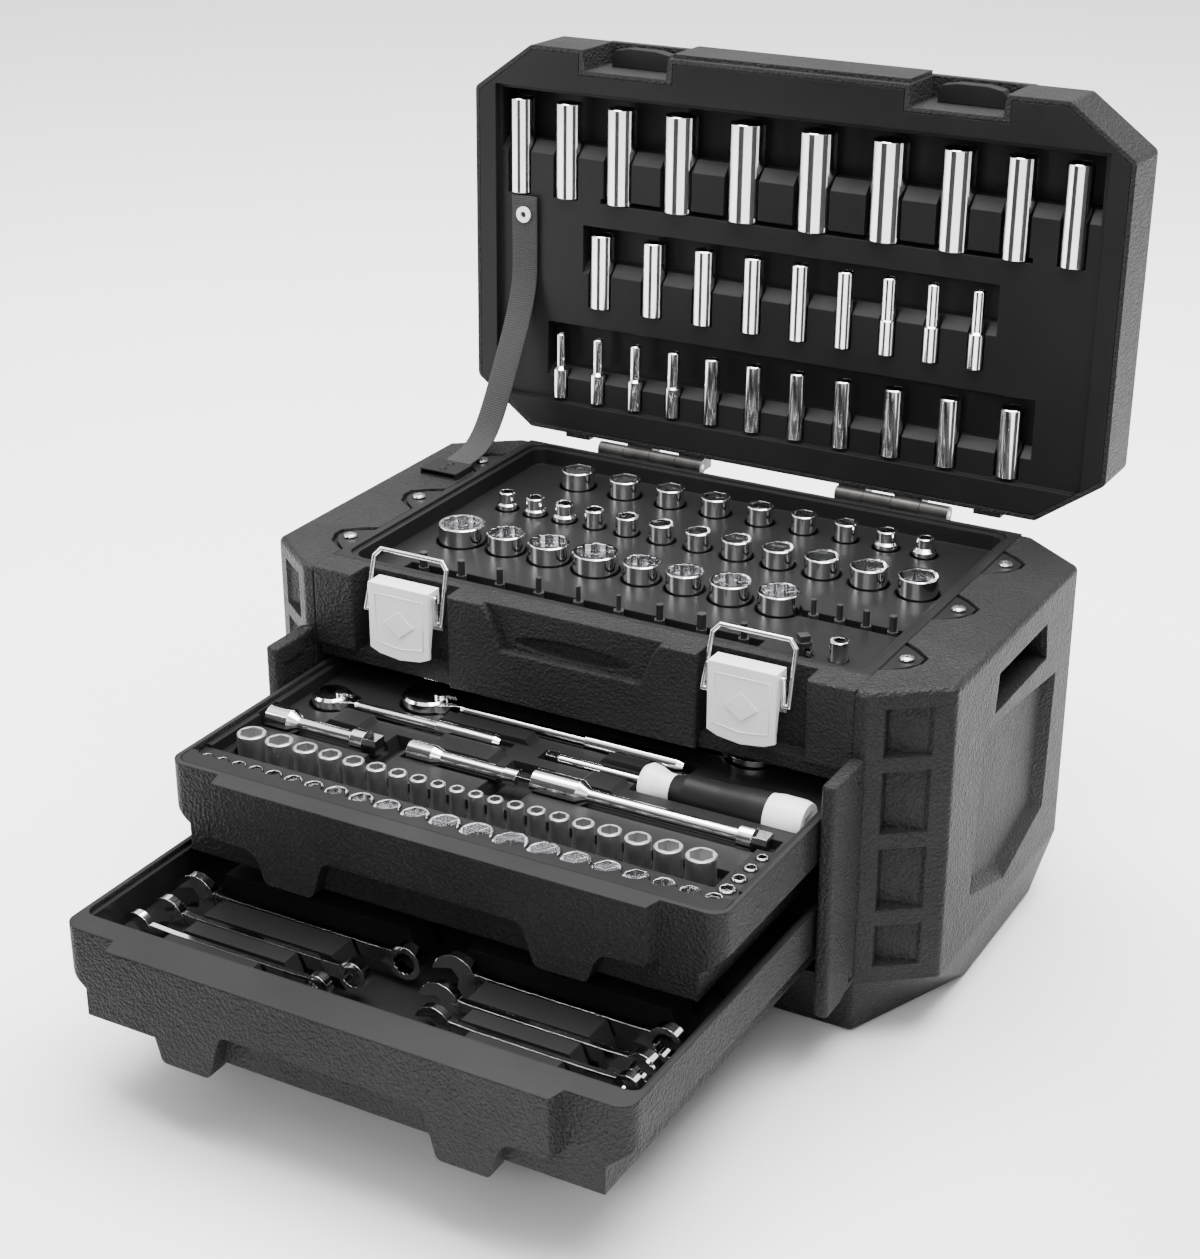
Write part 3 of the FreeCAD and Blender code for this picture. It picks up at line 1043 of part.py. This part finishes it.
# ---------------------------------------------------------------- everything, one file per node
def build():
    nodes = {}
    cap = side_cap()
    lever, bail, right_flap = latch_lever(), latch_bail(), flap()
    tray_rows = tray_sockets()
    lid_rows = {name: lid_row(row) for name, row in LID_ROWS.items()}
    short, grey = short_sockets(), grey_sockets()
    fixed_leaves, lid_leaves = hinge_leaves()

    nodes["base_tub"] = base_tub()
    nodes["floor_panel"] = floor_panel()
    nodes["side_cap_right"] = cap
    nodes["side_cap_left"] = mirrored(cap)
    nodes["top_box"] = top_box()
    nodes["back_panel"] = back_panel()
    nodes["drawer_rails"] = rails(DRAWER_TOP["upper"]) + rails(DRAWER_TOP["lower"])
    nodes["tray_insert"] = tray_insert(tray_rows)
    nodes["cap_screws"] = cap_screws()
    nodes["hinge_leaves_box"] = fixed_leaves
    nodes["hinge_pins"] = hinge_pins()
    nodes["flap_ears"] = flap_ears()
    nodes["flap_pins"] = flap_pins()
    nodes["latch_brackets"] = latch_brackets()
    nodes["latch_pins"] = latch_pins()
    nodes["strap_clip"] = [strap_clip()] + clip_rivets()
    nodes["strap"] = strap()
    for name, row in tray_rows.items():
        nodes[name] = [solid for _, _, _, solid in row]
    nodes["hex_bits"] = tray_bits()
    nodes["star_bits"] = tray_torx_bits()
    nodes["universal_joint"] = universal_joint()
    nodes["universal_yoke"] = joint_yoke()
    nodes["drive_adapter"] = drive_adapter()

    nodes["lid_shell"] = opened(lid_shell())
    nodes["lid_liner"] = opened(lid_liner(lid_rows))
    nodes["lid_catches"] = [opened(s) for s in lid_catches()]
    nodes["hinge_leaves_lid"] = [opened(s) for s in lid_leaves]
    nodes["strap_eyelet"] = opened(strap_eyelet())
    for name, row in lid_rows.items():
        nodes[name] = [opened(solid) for _, _, solid in row]

    nodes["upper_drawer"] = drawer_shell("upper")
    nodes["upper_insert"] = upper_insert(short, grey)
    nodes["short_sockets"] = [solid for _, _, _, solid in short]
    nodes["grey_sockets"] = [solid for _, _, _, solid in grey]
    for name, (at, length, od, drive) in BARS.items():
        nodes[name] = placed(extension_bar(length, od, drive), at)
    for name, item in RATCHETS.items():
        body = ratchet(item["length"], item["head_r"], item["thick"], item["drive"])
        lever_piece = selector(item["head_r"], item["thick"])
        nodes["ratchet_" + name] = placed(body, item["at"], (0, 0, 1), item["turn"])
        nodes["selector_" + name] = placed(lever_piece, item["at"], (0, 0, 1), item["turn"])
    nodes.update(spinner_parts())

    nodes["lower_drawer"] = drawer_shell("lower")
    nodes["lower_insert"] = lower_insert()
    for name in WRENCHES:
        nodes[name] = wrench_group(name)

    nodes["flap_right"] = right_flap
    nodes["flap_left"] = mirrored(right_flap)
    nodes["latch_lever_right"] = lever
    nodes["latch_lever_left"] = mirrored(lever)
    nodes["latch_bail_right"] = bail
    nodes["latch_bail_left"] = mirrored(bail)
    return nodes


os.makedirs("parts", exist_ok=True)
for node_name, node_shape in build().items():
    save(node_name, node_shape)
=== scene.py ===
"""Looks of the socket wrench set: procedural materials, webbing strap, small details, studio."""

import math

import bmesh
import bpy
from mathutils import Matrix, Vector


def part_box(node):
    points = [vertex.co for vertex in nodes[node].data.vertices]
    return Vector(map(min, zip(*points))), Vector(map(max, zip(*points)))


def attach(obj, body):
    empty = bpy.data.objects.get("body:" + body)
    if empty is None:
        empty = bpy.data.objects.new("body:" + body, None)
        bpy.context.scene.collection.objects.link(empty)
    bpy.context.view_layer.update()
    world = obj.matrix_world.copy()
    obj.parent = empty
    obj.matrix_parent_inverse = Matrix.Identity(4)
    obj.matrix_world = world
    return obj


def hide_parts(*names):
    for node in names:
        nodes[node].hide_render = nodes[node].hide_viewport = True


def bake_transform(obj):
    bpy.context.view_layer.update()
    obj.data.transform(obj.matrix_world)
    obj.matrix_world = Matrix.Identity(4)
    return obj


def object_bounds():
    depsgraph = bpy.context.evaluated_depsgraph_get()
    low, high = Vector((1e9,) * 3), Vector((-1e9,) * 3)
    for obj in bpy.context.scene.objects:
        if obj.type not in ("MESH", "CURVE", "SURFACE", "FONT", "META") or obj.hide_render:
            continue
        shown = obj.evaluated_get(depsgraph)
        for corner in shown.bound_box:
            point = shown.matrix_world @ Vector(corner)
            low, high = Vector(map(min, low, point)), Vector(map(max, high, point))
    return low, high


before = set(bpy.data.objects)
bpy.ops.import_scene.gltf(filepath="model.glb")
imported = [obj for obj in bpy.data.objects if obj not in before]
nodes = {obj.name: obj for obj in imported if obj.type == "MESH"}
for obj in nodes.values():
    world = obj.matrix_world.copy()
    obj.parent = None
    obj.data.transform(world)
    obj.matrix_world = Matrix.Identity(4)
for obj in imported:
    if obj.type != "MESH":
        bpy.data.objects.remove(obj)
cad_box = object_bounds()

# ---------------------------------------------------------------- camera and studio settings
CAMERA_AT = (0.6492, -1.2571, 0.8133)
AZIMUTH = math.radians(29.21)
ELEVATION = math.radians(24.23)
LENS = 68.19
SENSOR = 36.0
CLIP_END = 20.0
FLOOR_COLOUR = (0.95, 0.95, 0.95)
FLOOR_SHADE = 0.985      # darkest part of the floor, as a share of its colour
FLOOR_HALF = 40
FLOOR_DROP = 0.0005      # floor below the foot of the chest
# height in the sky from 0 to 1, and its grey
SKY = [(0.0, 0.30), (0.12, 0.10), (0.34, 0.12), (0.46, 0.75), (0.62, 0.90), (0.72, 0.35), (0.84, 1.0)]
SKY_STRENGTH = 2.5
# dark boards on both sides of the line of sight: distance aside, start and end ahead of the camera, height
BOARD_ASIDE = 0.52
BOARD_NEAR = 0.45
BOARD_FAR = 1.25
BOARD_TALL = 0.75
LAMP_TARGET = (0.0, -0.1, 0.2)
# name, place, size, watts
LAMPS = [
    ("top_softbox", (0.1, 0.2, 2.4), (2.6, 2.2), 250),
    ("left_softbox", (-1.9, -1.2, 1.2), (0.7, 1.6), 40),
    ("right_softbox", (2.2, -0.3, 1.0), (0.35, 1.6), 12),
    ("front_softbox", (0.5, -2.6, 1.7), (1.8, 0.5), 24),
]


# ---------------------------------------------------------------- material helpers
RAMP_STOPS = (0.3, 0.7)
BEVEL_SAMPLES = 4


class Nodes:
    """A short way to write a node tree."""

    def __init__(self, name):
        self.material = bpy.data.materials.new(name)
        self.material.use_nodes = True
        self.tree = self.material.node_tree
        self.shader = self.tree.nodes["Principled BSDF"]

    def add(self, kind, **settings):
        """A new node; a setting is one of its properties or, failing that, one of its inputs."""
        node = self.tree.nodes.new(kind)
        for key, value in settings.items():
            if hasattr(node, key):
                setattr(node, key, value)
            else:
                node.inputs[key.replace("_", " ")].default_value = value
        return node

    def link(self, out, into):
        self.tree.links.new(out, into)

    def coords(self):
        return self.add("ShaderNodeTexCoord").outputs["Object"]

    def noise(self, scale, detail=2.0):
        node = self.add("ShaderNodeTexNoise", Scale=scale, Detail=detail)
        self.link(self.coords(), node.inputs["Vector"])
        return node.outputs["Fac"]

    def cells(self, scale, vector):
        node = self.add("ShaderNodeTexVoronoi", feature="SMOOTH_F1", Scale=scale)
        self.link(vector, node.inputs["Vector"])
        return node.outputs["Distance"]

    def ramp(self, fac, low, high):
        node = self.add("ShaderNodeValToRGB")
        for stop, place, value in zip(node.color_ramp.elements, RAMP_STOPS, (low, high)):
            stop.position = place
            stop.color = (*value, 1.0)
        self.link(fac, node.inputs["Fac"])
        return node.outputs["Color"]

    def span(self, fac, low, high):
        node = self.add("ShaderNodeMapRange")
        node.inputs["To Min"].default_value = low
        node.inputs["To Max"].default_value = high
        self.link(fac, node.inputs["Value"])
        return node.outputs["Result"]

    def finish(self, colour, roughness, height=None, depth=None, strength=None, metallic=0.0,
               bevel=0.0, mask=None, **extra):
        """Joins everything to the shader; bevel is the radius that soft edges are shaded with."""
        self.link(colour, self.shader.inputs["Base Color"])
        self.link(roughness, self.shader.inputs["Roughness"])
        self.shader.inputs["Metallic"].default_value = metallic
        for key, value in extra.items():
            self.shader.inputs[key.replace("_", " ")].default_value = value
        normal = None
        if bevel:
            normal = self.add("ShaderNodeBevel", samples=BEVEL_SAMPLES, Radius=bevel).outputs["Normal"]
        if height is not None:
            bump = self.add("ShaderNodeBump", Strength=strength, Distance=depth)
            self.link(height, bump.inputs["Height"])
            if mask is not None:
                self.link(mask, bump.inputs["Strength"])
            if normal is not None:
                self.link(normal, bump.inputs["Normal"])
            normal = bump.outputs["Normal"]
        if normal is not None:
            self.link(normal, self.shader.inputs["Normal"])
        return self.material


# ---------------------------------------------------------------- materials
PLASTIC_IOR = 1.21       # low, so that the black plastic stays dark where it is seen at a low angle

# tint: noise scale and detail, darkest and palest colour; wear: noise scale and detail, least and most roughness;
# grain: noise scale and detail of the fine bump
PLAIN = {
    "smooth": dict(
        name="smooth_plastic", tint=(9.0, 2.0, (0.0085, 0.0085, 0.0088), (0.0120, 0.0120, 0.0124)),
        wear=(60.0, 4.0, 0.28, 0.38), grain=(1500.0, 3.0), depth=0.0001, strength=0.35, bevel=0.0014,
        IOR=PLASTIC_IOR),
    "insert": dict(
        name="insert_plastic", tint=(11.0, 2.0, (0.0080, 0.0080, 0.0083), (0.0115, 0.0115, 0.0119)),
        wear=(80.0, 3.0, 0.33, 0.45), grain=(1300.0, 3.0), depth=0.00012, strength=0.4, bevel=0.0010,
        IOR=PLASTIC_IOR),
    "satin": dict(
        name="satin_chrome", tint=(70.0, 2.0, (0.46, 0.46, 0.46), (0.56, 0.56, 0.56)),
        wear=(500.0, 4.0, 0.30, 0.42), grain=(2200.0, 2.0), depth=0.00004, strength=0.4, metallic=1.0,
        bevel=0.0004),
    "steel": dict(
        name="plain_steel", tint=(60.0, 3.0, (0.42, 0.42, 0.42), (0.6, 0.6, 0.6)),
        wear=(400.0, 4.0, 0.2, 0.36), metallic=1.0, bevel=0.0003),
    "black_steel": dict(
        name="black_oxide_steel", tint=(60.0, 3.0, (0.035, 0.034, 0.033), (0.07, 0.068, 0.066)),
        wear=(400.0, 4.0, 0.28, 0.42), metallic=0.7, bevel=0.0003),
    "wire": dict(
        name="bright_wire", tint=(90.0, 3.0, (0.66, 0.66, 0.65), (0.78, 0.78, 0.77)),
        wear=(600.0, 3.0, 0.14, 0.26), metallic=1.0),
    "paint": dict(
        name="white_paint", tint=(30.0, 3.0, (0.70, 0.70, 0.69), (0.77, 0.77, 0.76)),
        wear=(300.0, 3.0, 0.28, 0.38), grain=(1800.0, 2.0), depth=0.00003, strength=0.3, bevel=0.0007),
    "white": dict(
        name="white_plastic", tint=(40.0, 2.0, (0.74, 0.74, 0.73), (0.80, 0.80, 0.79)),
        wear=(200.0, 3.0, 0.25, 0.36), grain=(900.0, 2.0), depth=0.00005, strength=0.3, bevel=0.0008),
    "chrome": dict(
        name="polished_chrome", tint=(40.0, 2.0, (0.74, 0.74, 0.75), (0.83, 0.83, 0.84)),
        wear=(220.0, 4.0, 0.05, 0.12), metallic=1.0, bevel=0.0003),
}

# moulded grain: scales of the noise that bends the cells, of the large cells and of the small ones between them
WARP_SCALE = 420.0
WARP_SHIFT = 0.0012
LARGE_CELLS = 560.0
SMALL_CELLS = 1150.0
SMALL_SHARE = 0.35
# how far up a face has to look to lose its grain, and the bump's strength below and above that
TOP_MASK = {"From Min": 0.92, "From Max": 0.98, "To Min": 1.0, "To Max": 0.06}

RIB_SCALE = 190.0
YARN_SCALE = 260.0


def plain(name, tint, wear, grain=None, **finish):
    """A material with one noise for its tint, one for its roughness and perhaps one for a fine bump."""
    m = Nodes(name)
    colour = m.ramp(m.noise(*tint[:2]), *tint[2:])
    rough = m.span(m.noise(*wear[:2]), *wear[2:])
    height = m.noise(*grain) if grain else None
    return m.finish(colour, rough, height, **finish)


def pebbled_plastic(name, smooth_top=False):
    """Leathery moulded grain, wormy cells with finer ones between; smooth_top leaves little on flat tops."""
    m = Nodes(name)
    colour = m.ramp(m.noise(14.0, 3.0), (0.0120, 0.0120, 0.0124), (0.0175, 0.0175, 0.0180))
    warp = m.add("ShaderNodeTexNoise", Scale=WARP_SCALE, Detail=1.0)
    m.link(m.coords(), warp.inputs["Vector"])
    shift = m.add("ShaderNodeVectorMath", operation="MULTIPLY_ADD")
    m.link(warp.outputs["Color"], shift.inputs[0])
    shift.inputs[1].default_value = (WARP_SHIFT, WARP_SHIFT, WARP_SHIFT)
    m.link(m.coords(), shift.inputs[2])
    large = m.cells(LARGE_CELLS, shift.outputs["Vector"])
    small = m.cells(SMALL_CELLS, shift.outputs["Vector"])
    height = m.add("ShaderNodeMath", operation="MULTIPLY_ADD")
    m.link(small, height.inputs[0])
    height.inputs[1].default_value = SMALL_SHARE
    m.link(large, height.inputs[2])
    rough = m.span(m.noise(90.0), 0.42, 0.52)
    mask = None
    if smooth_top:
        upward = m.add("ShaderNodeSeparateXYZ")
        m.link(m.add("ShaderNodeTexCoord").outputs["Normal"], upward.inputs["Vector"])
        flat = m.add("ShaderNodeMapRange")
        for key, value in TOP_MASK.items():
            flat.inputs[key].default_value = value
        m.link(upward.outputs["Z"], flat.inputs["Value"])
        mask = flat.outputs["Result"]
    return m.finish(colour, rough, height.outputs["Value"], depth=0.0011, strength=1.0, bevel=0.0018,
                    mask=mask, IOR=PLASTIC_IOR)


def webbing():
    """Twill ribs across the strap with fine yarns along it."""
    m = Nodes("black_webbing")
    ribs = m.add("ShaderNodeTexWave", wave_type="BANDS", bands_direction="Y", Scale=RIB_SCALE, Distortion=0.6)
    yarns = m.add("ShaderNodeTexWave", wave_type="BANDS", bands_direction="X", Scale=YARN_SCALE, Distortion=0.4)
    uv = m.add("ShaderNodeUVMap")
    uv.uv_map = "strip"
    m.link(uv.outputs["UV"], ribs.inputs["Vector"])
    m.link(uv.outputs["UV"], yarns.inputs["Vector"])
    both = m.add("ShaderNodeMath", operation="MULTIPLY")
    m.link(ribs.outputs["Fac"], both.inputs[0])
    m.link(yarns.outputs["Fac"], both.inputs[1])
    weave = both.outputs["Value"]
    colour = m.ramp(weave, (0.012, 0.012, 0.012), (0.034, 0.034, 0.035))
    rough = m.span(weave, 0.85, 0.6)
    return m.finish(colour, rough, weave, depth=0.0004, strength=0.8)


def floor_material():
    m = Nodes("studio_floor")
    pale = tuple(FLOOR_SHADE * v for v in FLOOR_COLOUR)
    colour = m.ramp(m.noise(2.0, 2.0), pale, FLOOR_COLOUR)
    return m.finish(colour, m.span(m.noise(5.0), 0.6, 0.7))


def board_material(name):
    m = Nodes(name)
    colour = m.ramp(m.noise(3.0), (0.010, 0.010, 0.010), (0.014, 0.014, 0.014))
    return m.finish(colour, m.span(m.noise(5.0), 0.8, 0.9))


def make_materials():
    made = {"paint": plain(**PLAIN["paint"]), "pebbled": pebbled_plastic("pebbled_plastic"),
            "drawer": pebbled_plastic("drawer_plastic", smooth_top=True)}
    for key, row in PLAIN.items():
        if key not in made:
            made[key] = plain(**row)
    return made


# ---------------------------------------------------------------- CAD nodes
# every node that is not named here is chrome
FINISH = {
    "pebbled": ["base_tub", "side_cap_left", "side_cap_right", "top_box", "lid_shell", "flap_left",
                "flap_right", "flap_ears", "back_panel"],
    "drawer": ["upper_drawer", "lower_drawer"],
    "smooth": ["tray_insert", "drawer_rails", "floor_panel", "strap_clip", "lid_catches"],
    "insert": ["upper_insert", "lower_insert", "lid_liner", "spinner_grip"],
    "satin": ["grey_sockets"],
    "steel": ["latch_brackets", "latch_pins", "flap_pins", "hinge_pins", "cap_screws"],
    "black_steel": ["hinge_leaves_box", "hinge_leaves_lid", "hex_bits", "star_bits", "universal_yoke"],
    "wire": ["latch_bail_left", "latch_bail_right"],
    "paint": ["latch_lever_left", "latch_lever_right"],
    "white": ["strap_eyelet", "spinner_collar", "spinner_cap"],
}


def dress_all(made):
    """Gives each CAD node its material; the strap's node is replaced by the webbing."""
    named = {node: key for key, group in FINISH.items() for node in group}
    for name, thing in nodes.items():
        if name == "strap":
            continue
        for socket in thing.material_slots:
            socket.link = "OBJECT"
            socket.material = made[named.get(name, "chrome")]


# ---------------------------------------------------------------- webbing strap
STRAP_WIDTH = 0.020
STRAP_THICK = 0.0014
STRAP_ROWS = 56
STRAP_COLUMNS = 6
STRAP_BOW = 0.0007       # sag of the strap's edges against its middle
STRAP_EDGE = 0.0004
STRAP_ABOVE_CLIP = 0.0018
STRAP_BEHIND_EYELET = 0.0026
UNDER_CLIP = 0.006       # start of the strap behind the clip's front edge
# route past the clip's back edge: aside, back, up
ROUTE_PAST_CLIP = [(0.0, 0.016, -0.0002), (0.0008, 0.040, 0.010)]
# route to the eyelet's middle: back, up
ROUTE_TO_EYELET = [(-0.030, -0.105), (-0.001, -0.055), (0.0, -0.018), (0.0, 0.013)]
ROUTE_ORDER = 3
ROUTE_STEPS = 24


def strap_line():
    """Middle of the strap from the clip on the cap, up the open side, to the eyelet on the lid."""
    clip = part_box("strap_clip")
    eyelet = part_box("strap_eyelet")
    clip_x = (clip[0][0] + clip[1][0]) / 2
    eye_x = (eyelet[0][0] + eyelet[1][0]) / 2
    eye_z = (eyelet[0][2] + eyelet[1][2]) / 2
    face = eyelet[0][1] + STRAP_BEHIND_EYELET
    low = clip[0][2] + STRAP_ABOVE_CLIP
    corners = [Vector((clip_x, clip[0][1] + UNDER_CLIP, low))]
    corners += [Vector((clip_x + aside, clip[1][1] + back, low + up)) for aside, back, up in ROUTE_PAST_CLIP]
    corners += [Vector((eye_x, face + back, eye_z + up)) for back, up in ROUTE_TO_EYELET]
    curve = bpy.data.curves.new("strap_route", "CURVE")
    curve.dimensions = "3D"
    spline = curve.splines.new("NURBS")
    spline.points.add(len(corners) - 1)
    for point, corner in zip(spline.points, corners):
        point.co = (*corner, 1.0)
    spline.order_u = ROUTE_ORDER
    spline.use_endpoint_u = True
    spline.resolution_u = ROUTE_STEPS
    holder = bpy.data.objects.new("strap_route", curve)
    line = [v.co.copy() for v in bpy.data.meshes.new_from_object(holder).vertices]
    bpy.data.objects.remove(holder)
    return line


def evenly(line, count):
    """Points a constant distance apart along a line, and its length."""
    reach = [0.0]
    for a, b in zip(line, line[1:]):
        reach.append(reach[-1] + (b - a).length)
    out = []
    k = 0
    for i in range(count):
        want = reach[-1] * i / (count - 1)
        while k < len(line) - 2 and reach[k + 1] < want:
            k += 1
        out.append(line[k].lerp(line[k + 1], (want - reach[k]) / (reach[k + 1] - reach[k])))
    return out, reach[-1]


def make_strap():
    line, length = evenly(strap_line(), STRAP_ROWS)
    mesh = bmesh.new()
    uv = mesh.loops.layers.uv.new("strip")
    rows = []
    for i, middle in enumerate(line):
        along = (line[min(i + 1, STRAP_ROWS - 1)] - line[max(i - 1, 0)]).normalized()
        across = Vector((1.0, 0.0, 0.0))
        across = (across - along * across.dot(along)).normalized()
        cup = along.cross(across)
        row = []
        for j in range(STRAP_COLUMNS + 1):
            side = j / STRAP_COLUMNS - 0.5
            bow = STRAP_BOW * (4 * side * side - 1) * math.sin(math.pi * i / (STRAP_ROWS - 1))
            row.append(mesh.verts.new(middle + across * side * STRAP_WIDTH + cup * bow))
        rows.append(row)
    for i in range(STRAP_ROWS - 1):
        for j in range(STRAP_COLUMNS):
            corners = [(i, j), (i, j + 1), (i + 1, j + 1), (i + 1, j)]
            face = mesh.faces.new([rows[a][b] for a, b in corners])
            face.smooth = True
            for loop, (a, b) in zip(face.loops, corners):
                loop[uv].uv = (b / STRAP_COLUMNS * STRAP_WIDTH, a / (STRAP_ROWS - 1) * length)
    data = bpy.data.meshes.new("webbing_strap")
    mesh.to_mesh(data)
    mesh.free()
    data.materials.append(webbing())
    strap = bpy.data.objects.new("webbing_strap", data)
    bpy.context.scene.collection.objects.link(strap)
    thick = strap.modifiers.new("thickness", "SOLIDIFY")
    thick.thickness = STRAP_THICK
    thick.offset = 0.0
    soft = strap.modifiers.new("soft_edges", "BEVEL")
    soft.width = STRAP_EDGE
    soft.segments = 2
    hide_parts("strap")
    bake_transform(strap)


# ---------------------------------------------------------------- latch plates
BORDER_BEAD = 0.0006
# distances of the bead from the plate's sides, top and foot, rise of its foot's corners, and depth in the face
BORDER_SIDE = 0.0045
BORDER_TOP = 0.0065
BORDER_FOOT = 0.0075
BORDER_RISE = 0.0025
BORDER_SUNK = 0.0009


def latch_border(name, node, body, paint):
    """Raised bead round the face of a latch plate, just inside its edge."""
    low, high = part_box(node)
    left, right = low[0] + BORDER_SIDE, high[0] - BORDER_SIDE
    middle = (left + right) / 2
    top, foot = high[2] - BORDER_TOP, low[2] + BORDER_FOOT
    face = low[1] + BORDER_SUNK
    curve = bpy.data.curves.new(name, "CURVE")
    curve.dimensions = "3D"
    curve.bevel_depth = BORDER_BEAD
    curve.bevel_resolution = 3
    spline = curve.splines.new("POLY")
    outline = [(left, top), (right, top), (right, foot + BORDER_RISE), (middle, foot), (left, foot + BORDER_RISE)]
    spline.points.add(len(outline) - 1)
    for point, (x, z) in zip(spline.points, outline):
        point.co = (x, face, z, 1.0)
    spline.use_cyclic_u = True
    curve.materials.append(paint)
    bead = bpy.data.objects.new(name, curve)
    bpy.context.scene.collection.objects.link(bead)
    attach(bead, body)


# ---------------------------------------------------------------- studio
def make_camera():
    data = bpy.data.cameras.new("camera")
    data.lens = LENS
    data.sensor_width = SENSOR
    data.clip_end = CLIP_END
    camera = bpy.data.objects.new("camera", data)
    camera.location = CAMERA_AT
    camera.rotation_euler = (math.pi / 2 - ELEVATION, 0.0, AZIMUTH)
    bpy.context.scene.collection.objects.link(camera)
    bpy.context.scene.camera = camera


def softbox(name, place, size, power):
    data = bpy.data.lights.new(name, "AREA")
    data.shape = "RECTANGLE"
    data.size, data.size_y = size
    data.energy = power
    light = bpy.data.objects.new(name, data)
    light.location = place
    direction = Vector(LAMP_TARGET) - Vector(place)
    light.rotation_euler = direction.to_track_quat("-Z", "Y").to_euler()
    bpy.context.scene.collection.objects.link(light)


def dark_board(name, side):
    """Board standing beside the line of sight; the camera doesn't see it, but reflections do."""
    right = Vector((math.cos(AZIMUTH), math.sin(AZIMUTH), 0.0))
    ahead = Vector((-math.sin(AZIMUTH), math.cos(AZIMUTH), 0.0))
    start = Vector((CAMERA_AT[0], CAMERA_AT[1], 0.0)) + right * side * BOARD_ASIDE
    near, far = start + ahead * BOARD_NEAR, start + ahead * BOARD_FAR
    up = Vector((0.0, 0.0, BOARD_TALL))
    mesh = bpy.data.meshes.new(name)
    mesh.from_pydata([near, far, far + up, near + up], [], [(0, 1, 2, 3)])
    mesh.materials.append(board_material(name))
    board = bpy.data.objects.new(name, mesh)
    board.visible_camera = False
    bpy.context.scene.collection.objects.link(board)


def make_floor():
    half = FLOOR_HALF
    mesh = bpy.data.meshes.new("floor")
    mesh.from_pydata([(-half, -half, 0), (half, -half, 0), (half, half, 0), (-half, half, 0)], [], [(0, 1, 2, 3)])
    floor = bpy.data.objects.new("floor", mesh)
    floor.location.z = cad_box[0][2] - FLOOR_DROP
    mesh.materials.append(floor_material())
    bpy.context.scene.collection.objects.link(floor)


def make_sky():
    """Grey bands by height, which give the chrome its dark and light parts."""
    world = bpy.data.worlds.new("studio")
    bpy.context.scene.world = world
    world.use_nodes = True
    tree = world.node_tree
    coords = tree.nodes.new("ShaderNodeTexCoord")
    parts = tree.nodes.new("ShaderNodeSeparateXYZ")
    tree.links.new(coords.outputs["Generated"], parts.inputs["Vector"])
    sky = tree.nodes.new("ShaderNodeValToRGB")
    for place, _ in SKY[1:-1]:
        sky.color_ramp.elements.new(place)
    for stop, (place, grey) in zip(sky.color_ramp.elements, SKY):
        stop.position = place
        stop.color = (grey, grey, grey, 1.0)
    tree.links.new(parts.outputs["Z"], sky.inputs["Fac"])
    back = tree.nodes["Background"]
    tree.links.new(sky.outputs["Color"], back.inputs["Color"])
    back.inputs["Strength"].default_value = SKY_STRENGTH


def make_studio():
    make_floor()
    for name, side in (("dark_board_left", -1), ("dark_board_right", 1)):
        dark_board(name, side)
    make_sky()
    for lamp in LAMPS:
        softbox(*lamp)


materials = make_materials()
dress_all(materials)
make_strap()
latch_border("latch_border_left", "latch_lever_left", "lever_left", materials["paint"])
latch_border("latch_border_right", "latch_lever_right", "lever_right", materials["paint"])
make_camera()
make_studio()
